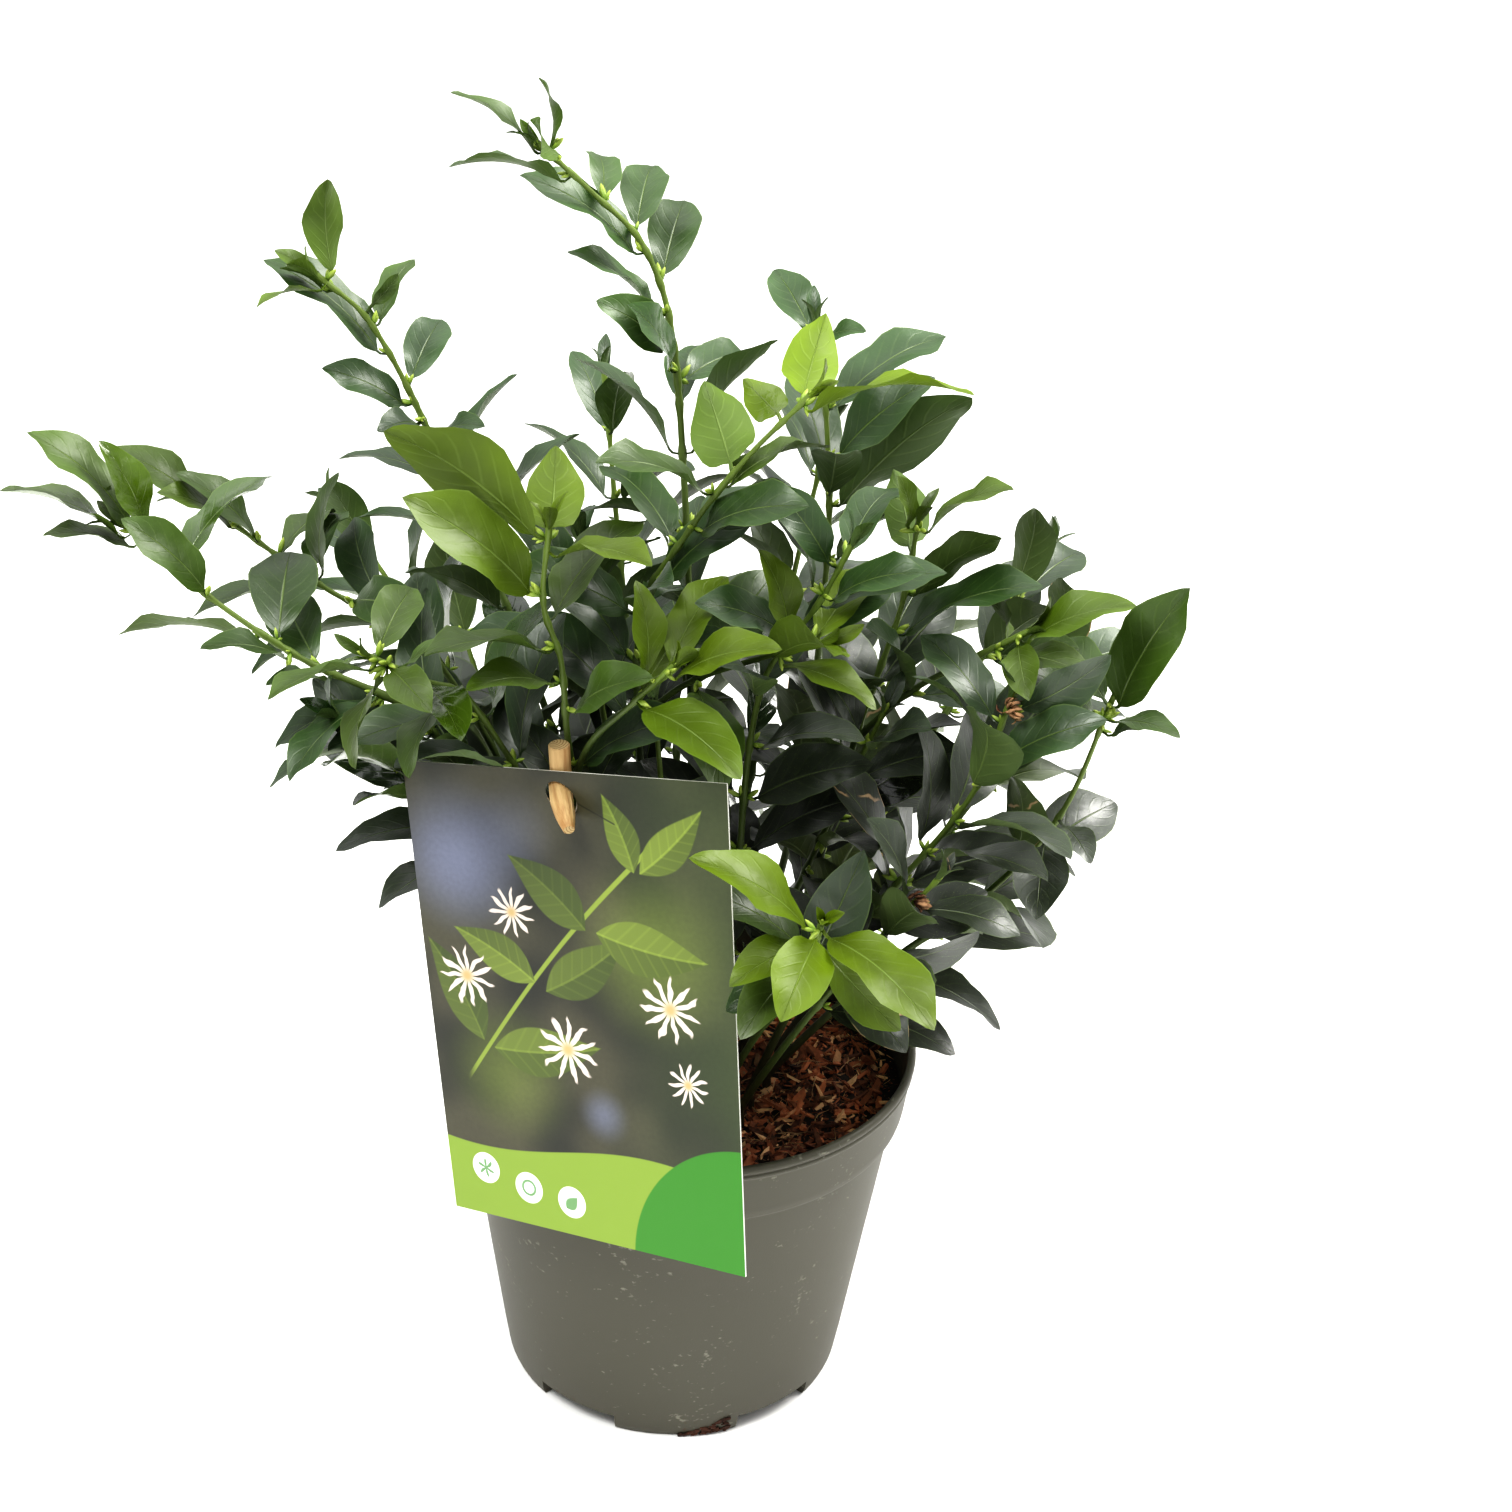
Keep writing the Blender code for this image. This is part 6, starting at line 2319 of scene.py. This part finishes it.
    def build(self, nodes: dict, effects: Effects) -> None:
        """Fills the pot and strews the bark.

        Args:
            nodes: The CAD nodes by name.
            effects: The shared groups.
        """
        finish = BarkFinish()
        body = self.body(nodes["soil"], finish.make(effects, "peat", 0.0, self.peat_shade))
        chip, fibre = self.chip(), self.fibre()
        # The chips in the pot, lightened as painted light for the leaves' shade.
        bark = finish.make(effects, "bark", 0.0, self.bark_lightness_with_painted_light)
        self.crumbs(chip, finish.make(effects, "fallen_bark", 0.0, self.fallen_shade))
        self.tree().apply(body, {
            "Chip": chip, "Fibre": fibre, "Bark": bark,
            "Hair": finish.make(effects, "hair", self.hair_pale, self.hair_shade),
            "Wall": MM * (self.pot.inner_radius(self.top) - self.gap)})
        settle(body, ("bed",))
        remove(chip, fibre)
        show(body, Slot.SOIL, "soil")


# Label


@dataclass
class Label:
    """The picture label, its stake and its peg, in mm."""

    width: float = 134.6
    height: float = 184.2
    thickness: float = 0.8
    middle: Point = (-38.4, -82.1, 211.1)
    turn_head: float = 26.7
    turn_foot: float = 33.8
    tilt: float = 10.7
    lean: float = 7.5
    stake_across: float = -2.8
    stake_radius: float = 3.95
    stake_above: float = 9.5
    stake_root: Point = (-34.0, -44.0, 84.0)
    peg_across: float = -0.5
    peg_down: float = 9.7
    peg_way: Point = (0.2, -0.85, -0.25)
    peg_hole: float = 5.0
    peg_rings: tuple[tuple[float, float], ...] = (
        (-8.4, 3.4), (1.0, 4.4), (5.0, 4.25), (9.0, 3.75), (12.0, 3.2), (14.5, 2.7), (16.8, 2.2), (17.0, 2.0))
    peg_sides: int = 14
    whittled: float = 0.10
    gap: float = 0.3
    play: float = 0.05
    cut_past: float = 8.0
    bevel: float = 0.4
    round_sides: int = 24
    hole_sides: int = 40
    columns: int = 24
    rows: int = 32

    def axes(self, down: float) -> tuple[Vector, Vector, Vector]:
        """The card's directions across, up and out of its face, at a share of its height.

        Args:
            down: The share of the height, from the upper edge.

        Returns:
            The three directions.
        """
        turn = math.radians(self.turn_head + (self.turn_foot - self.turn_head) * down)
        lean, tilt = math.radians(self.lean), math.radians(self.tilt)
        level = Vector((math.cos(turn), -math.sin(turn), 0.0))
        out = Vector((-math.sin(turn), -math.cos(turn), 0.0))
        rise = Vector(UP) * math.cos(lean) - out * math.sin(lean)
        across = level * math.cos(tilt) + rise * math.sin(tilt)
        up = rise * math.cos(tilt) - level * math.sin(tilt)
        return across, up, across.cross(up)

    def point(self, across: float, down: float) -> Vector:
        """A point on the card's middle plane, from its middle line and its upper edge.

        Args:
            across: How far right of the middle line, in mm.
            down: How far below the upper edge, in mm.

        Returns:
            The point, in mm.
        """
        spine = self.axes(0.5)[1]
        return (Vector(self.middle) + spine * (self.height / 2.0 - down)
                + self.axes(down / self.height)[0] * across)

    def rod(self, name: str, ends: list[Vector], radii: list[float], sides: int,
            skins: tuple[Material, ...]) -> Object:
        """A round rod, its sides in the first skin and its ends in the second.

        Args:
            name: The object's name.
            ends: The middle of each ring.
            radii: The radius of each ring.
            sides: The number of sides.
            skins: The side's and the ends' materials, first of all of them.

        Returns:
            The rod.
        """
        along = (ends[-1] - ends[0]).normalized()
        across = along.orthogonal().normalized()
        other = along.cross(across)
        ways = [across * x + other * y for x, y in circle(1.0, sides)]
        rings = [[end + way * radius for way in ways] for end, radius in zip(ends, radii)]
        made = lofted(name, rings, *skins, ends_first=False)
        for face in list(made.data.polygons)[-2:]:
            face.material_index = 1
        return made

    @staticmethod
    def add_grain(made: Object, along: Vector) -> None:
        """Gives a finished wooden piece its own coordinates as `grain`, with Z along its length.

        Args:
            made: The piece.
            along: The way that its grain runs.
        """
        across = along.orthogonal().normalized()
        foot = made.data.vertices[0].co
        axes = (across, along.cross(across), along)
        spots = [[(vertex.co - foot).dot(axis) for axis in axes] for vertex in made.data.vertices]
        add_vectors(made.data, "grain", spots)

    def stake_line(self) -> tuple[Vector, Vector, Vector]:
        """The stake's foot, its top above the card's edge, and its direction.

        Returns:
            The three of them, in mm.
        """
        behind = self.thickness / 2.0 + self.stake_radius + self.play + 2.0 * self.gap
        beside = self.point(self.stake_across, 0.0) - self.axes(0.0)[2] * behind
        foot = Vector(self.stake_root)
        along = (beside - foot).normalized()
        return foot, beside + along * self.stake_above, along

    def peg_line(self) -> tuple[Vector, Vector]:
        """Where the peg goes through the card, and its direction."""
        return self.point(self.peg_across, self.peg_down), Vector(self.peg_way).normalized()

    def sheet(self, skins: tuple[Material, ...]) -> Object:
        """The thin twisted sheet, with no hole yet.

        Args:
            skins: The materials of its front, its back and its edge.

        Returns:
            The sheet, its front with the print's coordinates.
        """
        points, shares = [], []
        for side in (0.5, -0.5):
            for row in range(self.rows + 1):
                out = self.axes(row / self.rows)[2] * self.thickness * side
                for column in range(self.columns + 1):
                    shares.append((column / self.columns, 1.0 - row / self.rows))
                    across = self.width * (column / self.columns - 0.5)
                    points.append(self.point(across, self.height * row / self.rows) + out)
        stride, back = self.columns + 1, (self.columns + 1) * (self.rows + 1)
        starts = [row * stride + column for row in range(self.rows) for column in range(self.columns)]
        front = [(a, a + stride, a + stride + 1, a + 1) for a in starts]
        behind = [tuple(back + k for k in reversed(face)) for face in front]
        edge = list(range(self.columns))
        edge += [row * stride + self.columns for row in range(self.rows)]
        edge += [back - 1 - k for k in range(self.columns)]
        edge += [row * stride for row in range(self.rows, 0, -1)]
        rim = [(here, there, back + there, back + here) for here, there in zip(edge, edge[1:] + edge[:1])]
        sheet = solid("label_sheet", points, front + behind + rim, *skins)
        kinds = [0] * len(front) + [1] * len(behind) + [2] * len(rim)
        sheet.data.polygons.foreach_set("material_index", kinds)
        layer = sheet.data.uv_layers.new(name="print")
        for loop in sheet.data.loops:
            layer.data[loop.index].uv = shares[loop.vertex_index]
        return sheet

    def card(self, effects: Effects) -> Object:
        """The card: the sheet with a print, a plain back, pale edges and the peg's hole.

        Args:
            effects: The shared groups.

        Returns:
            The card.
        """
        finish = CardFinish((self.width, self.height))
        skins = (finish.make_print(effects), finish.make_paper(effects, "card_back", 0.3),
                 finish.make_paper(effects, "card_edge", 0.1))
        card = self.sheet(skins)
        middle, way = self.peg_line()
        reach = way * self.cut_past
        ends = [middle - reach, middle + reach]
        drill = self.rod("drill", ends, [self.peg_hole] * 2, self.hole_sides, skins)
        drill.data.polygons.foreach_set("material_index", [2] * len(drill.data.polygons))
        boolean(card, [drill], "DIFFERENCE")
        smooth(card, 40.0)
        return card

    def peg(self, skins: tuple[Material, Material]) -> Object:
        """The peg: whittled to a blunt point in front, seated on the stake behind.

        Args:
            skins: The materials of its side and its ends.

        Returns:
            The peg.
        """
        middle, way = self.peg_line()
        ends = [middle + way * distance for distance, _ in self.peg_rings]
        peg = self.rod("label_pin", ends, [radius for _, radius in self.peg_rings], self.peg_sides, skins)
        for vertex in peg.data.vertices:
            axis = middle + way * (vertex.co / MM - middle).dot(way)
            out = vertex.co / MM - axis
            cut = 1.0 - self.whittled * max(noise.noise(vertex.co * 170.0), 0.0)
            vertex.co = (axis + out * cut) * MM
        foot, top, along = self.stake_line()
        radius = self.stake_radius + self.play + self.gap
        seat = self.rod("seat", [foot, top + along * self.cut_past], [radius] * 2, self.round_sides, skins)
        boolean(peg, [seat], "DIFFERENCE")
        smooth(peg, 24.0)
        self.add_grain(peg, way)
        return peg

    def build(self, effects: Effects) -> None:
        """Makes the card, the stake and the peg.

        Args:
            effects: The shared groups.
        """
        wood = WoodFinish()
        skins = (wood.make_side(effects), wood.make_end(effects))
        show(self.card(effects), Slot.CARD, "label_card")
        foot, top, along = self.stake_line()
        run = (top - foot).length
        marks = [run * k / 8.0 for k in range(8)] + [run - self.bevel, run]
        radii = [self.stake_radius] * 9 + [self.stake_radius - self.bevel]
        stake = self.rod("label_rod", [foot + along * mark for mark in marks], radii, self.round_sides, skins)
        smooth(stake, 50.0)
        self.add_grain(stake, along)
        show(stake, Slot.WOOD, "label_stake")
        show(self.peg(skins), Slot.WOOD, "label_peg")


# Studio


@dataclass(frozen=True)
class Lamp:
    """A large soft lamp: its name, place and aim and its side in metres, its power in watts, its colour."""

    name: str
    place: Point
    aim: Point
    size: float
    power: float
    tint: Colour

    def build(self) -> None:
        """Hangs the lamp and turns it to its aim."""
        light = bpy.data.lights.new(self.name, "AREA")
        light.size = self.size
        light.energy = self.power
        light.color = self.tint
        lamp = bpy.data.objects.new(self.name, light)
        lamp.location = self.place
        lamp.rotation_euler = (Vector(self.aim) - Vector(self.place)).to_track_quat("-Z", "Y").to_euler()
        bpy.context.scene.collection.objects.link(lamp)
        lamp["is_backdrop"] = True


@dataclass
class Studio:
    """The floor, the light and the camera."""

    lamps: tuple[Lamp, ...] = (
        Lamp("roof", (0.0, 1.0, 3.0), (0.0, 1.0, 0.0), 7.0, 110.0, PLAIN),
        Lamp("key", (1.1, 0.3, 1.5), (0.0, 0.0, 0.25), 0.8, 23.0, (1.0, 0.98, 0.95)),
        Lamp("front", (-0.8, -0.8, 1.9), (0.0, 0.0, 0.3), 0.7, 22.0, (1.0, 1.0, 0.98)),
    )
    floor_down: float = 0.5
    floor_half: float = 6.0
    sky: float = 0.54
    sensor: float = 36.0
    focal_pixels: float = 2800.0
    photo_width: float = 1512.0
    nearest: float = 0.05
    eye: Point = (0.0, -0.9558, 0.7714)
    pitch: float = 27.34
    yaw: float = 1.47
    roll: float = 2.69

    def floor(self, effects: Effects) -> None:
        """A wide pale floor under the pot.

        Args:
            effects: The shared groups.
        """
        half = self.floor_half / MM
        ends = [(x * half, y * half, -self.floor_down) for x, y in ((-1, -1), (1, -1), (1, 1), (-1, 1))]
        solid("floor", ends, [(0, 1, 2, 3)], FloorFinish().make(effects))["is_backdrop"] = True

    def world(self) -> None:
        """A pale even sky."""
        world = bpy.data.worlds.new("studio")
        world.use_nodes = True
        ground = world.node_tree.nodes["Background"]
        ground.inputs["Color"].default_value = (*PLAIN, 1.0)
        ground.inputs["Strength"].default_value = self.sky
        bpy.context.scene.world = world

    def camera(self) -> None:
        """The photo's camera."""
        lens = bpy.data.cameras.new("camera")
        lens.lens = self.focal_pixels / self.photo_width * self.sensor
        lens.sensor_width, lens.clip_start = self.sensor, self.nearest
        camera = bpy.data.objects.new("camera", lens)
        bpy.context.scene.collection.objects.link(camera)
        pitch, yaw, roll = (math.radians(angle) for angle in (self.pitch, self.yaw, self.roll))
        aside = Vector((math.cos(yaw), -math.sin(yaw), 0.0))
        ahead = Vector((math.sin(yaw), math.cos(yaw), 0.0))
        rise = Vector(UP)
        up = ahead * math.sin(pitch) + rise * math.cos(pitch)
        look = ahead * math.cos(pitch) - rise * math.sin(pitch)
        right = aside * math.cos(roll) + up * math.sin(roll)
        top = up * math.cos(roll) - aside * math.sin(roll)
        matrix = Matrix((right, top, -look)).transposed().to_4x4()
        matrix.translation = Vector(self.eye)
        camera.matrix_world = matrix
        bpy.context.scene.camera = camera

    def build(self, effects: Effects) -> None:
        """Sets the floor, the light and the camera.

        Args:
            effects: The shared groups.
        """
        self.floor(effects)
        self.world()
        for lamp in self.lamps:
            lamp.build()
        self.camera()
        bpy.context.scene.view_settings.view_transform = "Standard"
        bpy.context.scene.view_settings.look = "High Contrast"


def corners() -> list[list[float]]:
    """The shown object's box as two plain lists."""
    return [list(corner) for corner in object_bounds()]


def clear() -> None:
    """Removes the objects that a new file starts with."""
    for thing in list(bpy.data.objects):
        bpy.data.objects.remove(thing, do_unlink=True)


def main() -> None:
    """Builds the scene round the frame."""
    logging.basicConfig(level=logging.INFO, format="%(name)s %(message)s")
    clear()
    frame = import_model()
    cad = corners()
    effects = Effects()
    pot = Pot()
    pot.build(effects)
    Compost(pot).build(frame["nodes"], effects)
    Label().build(effects)
    foliage = Foliage()
    foliage.build(frame["nodes"], cad, effects)
    DriedFlowers().build(foliage.roots, effects)
    Studio().build(effects)


if __name__ == "__main__":
    main()
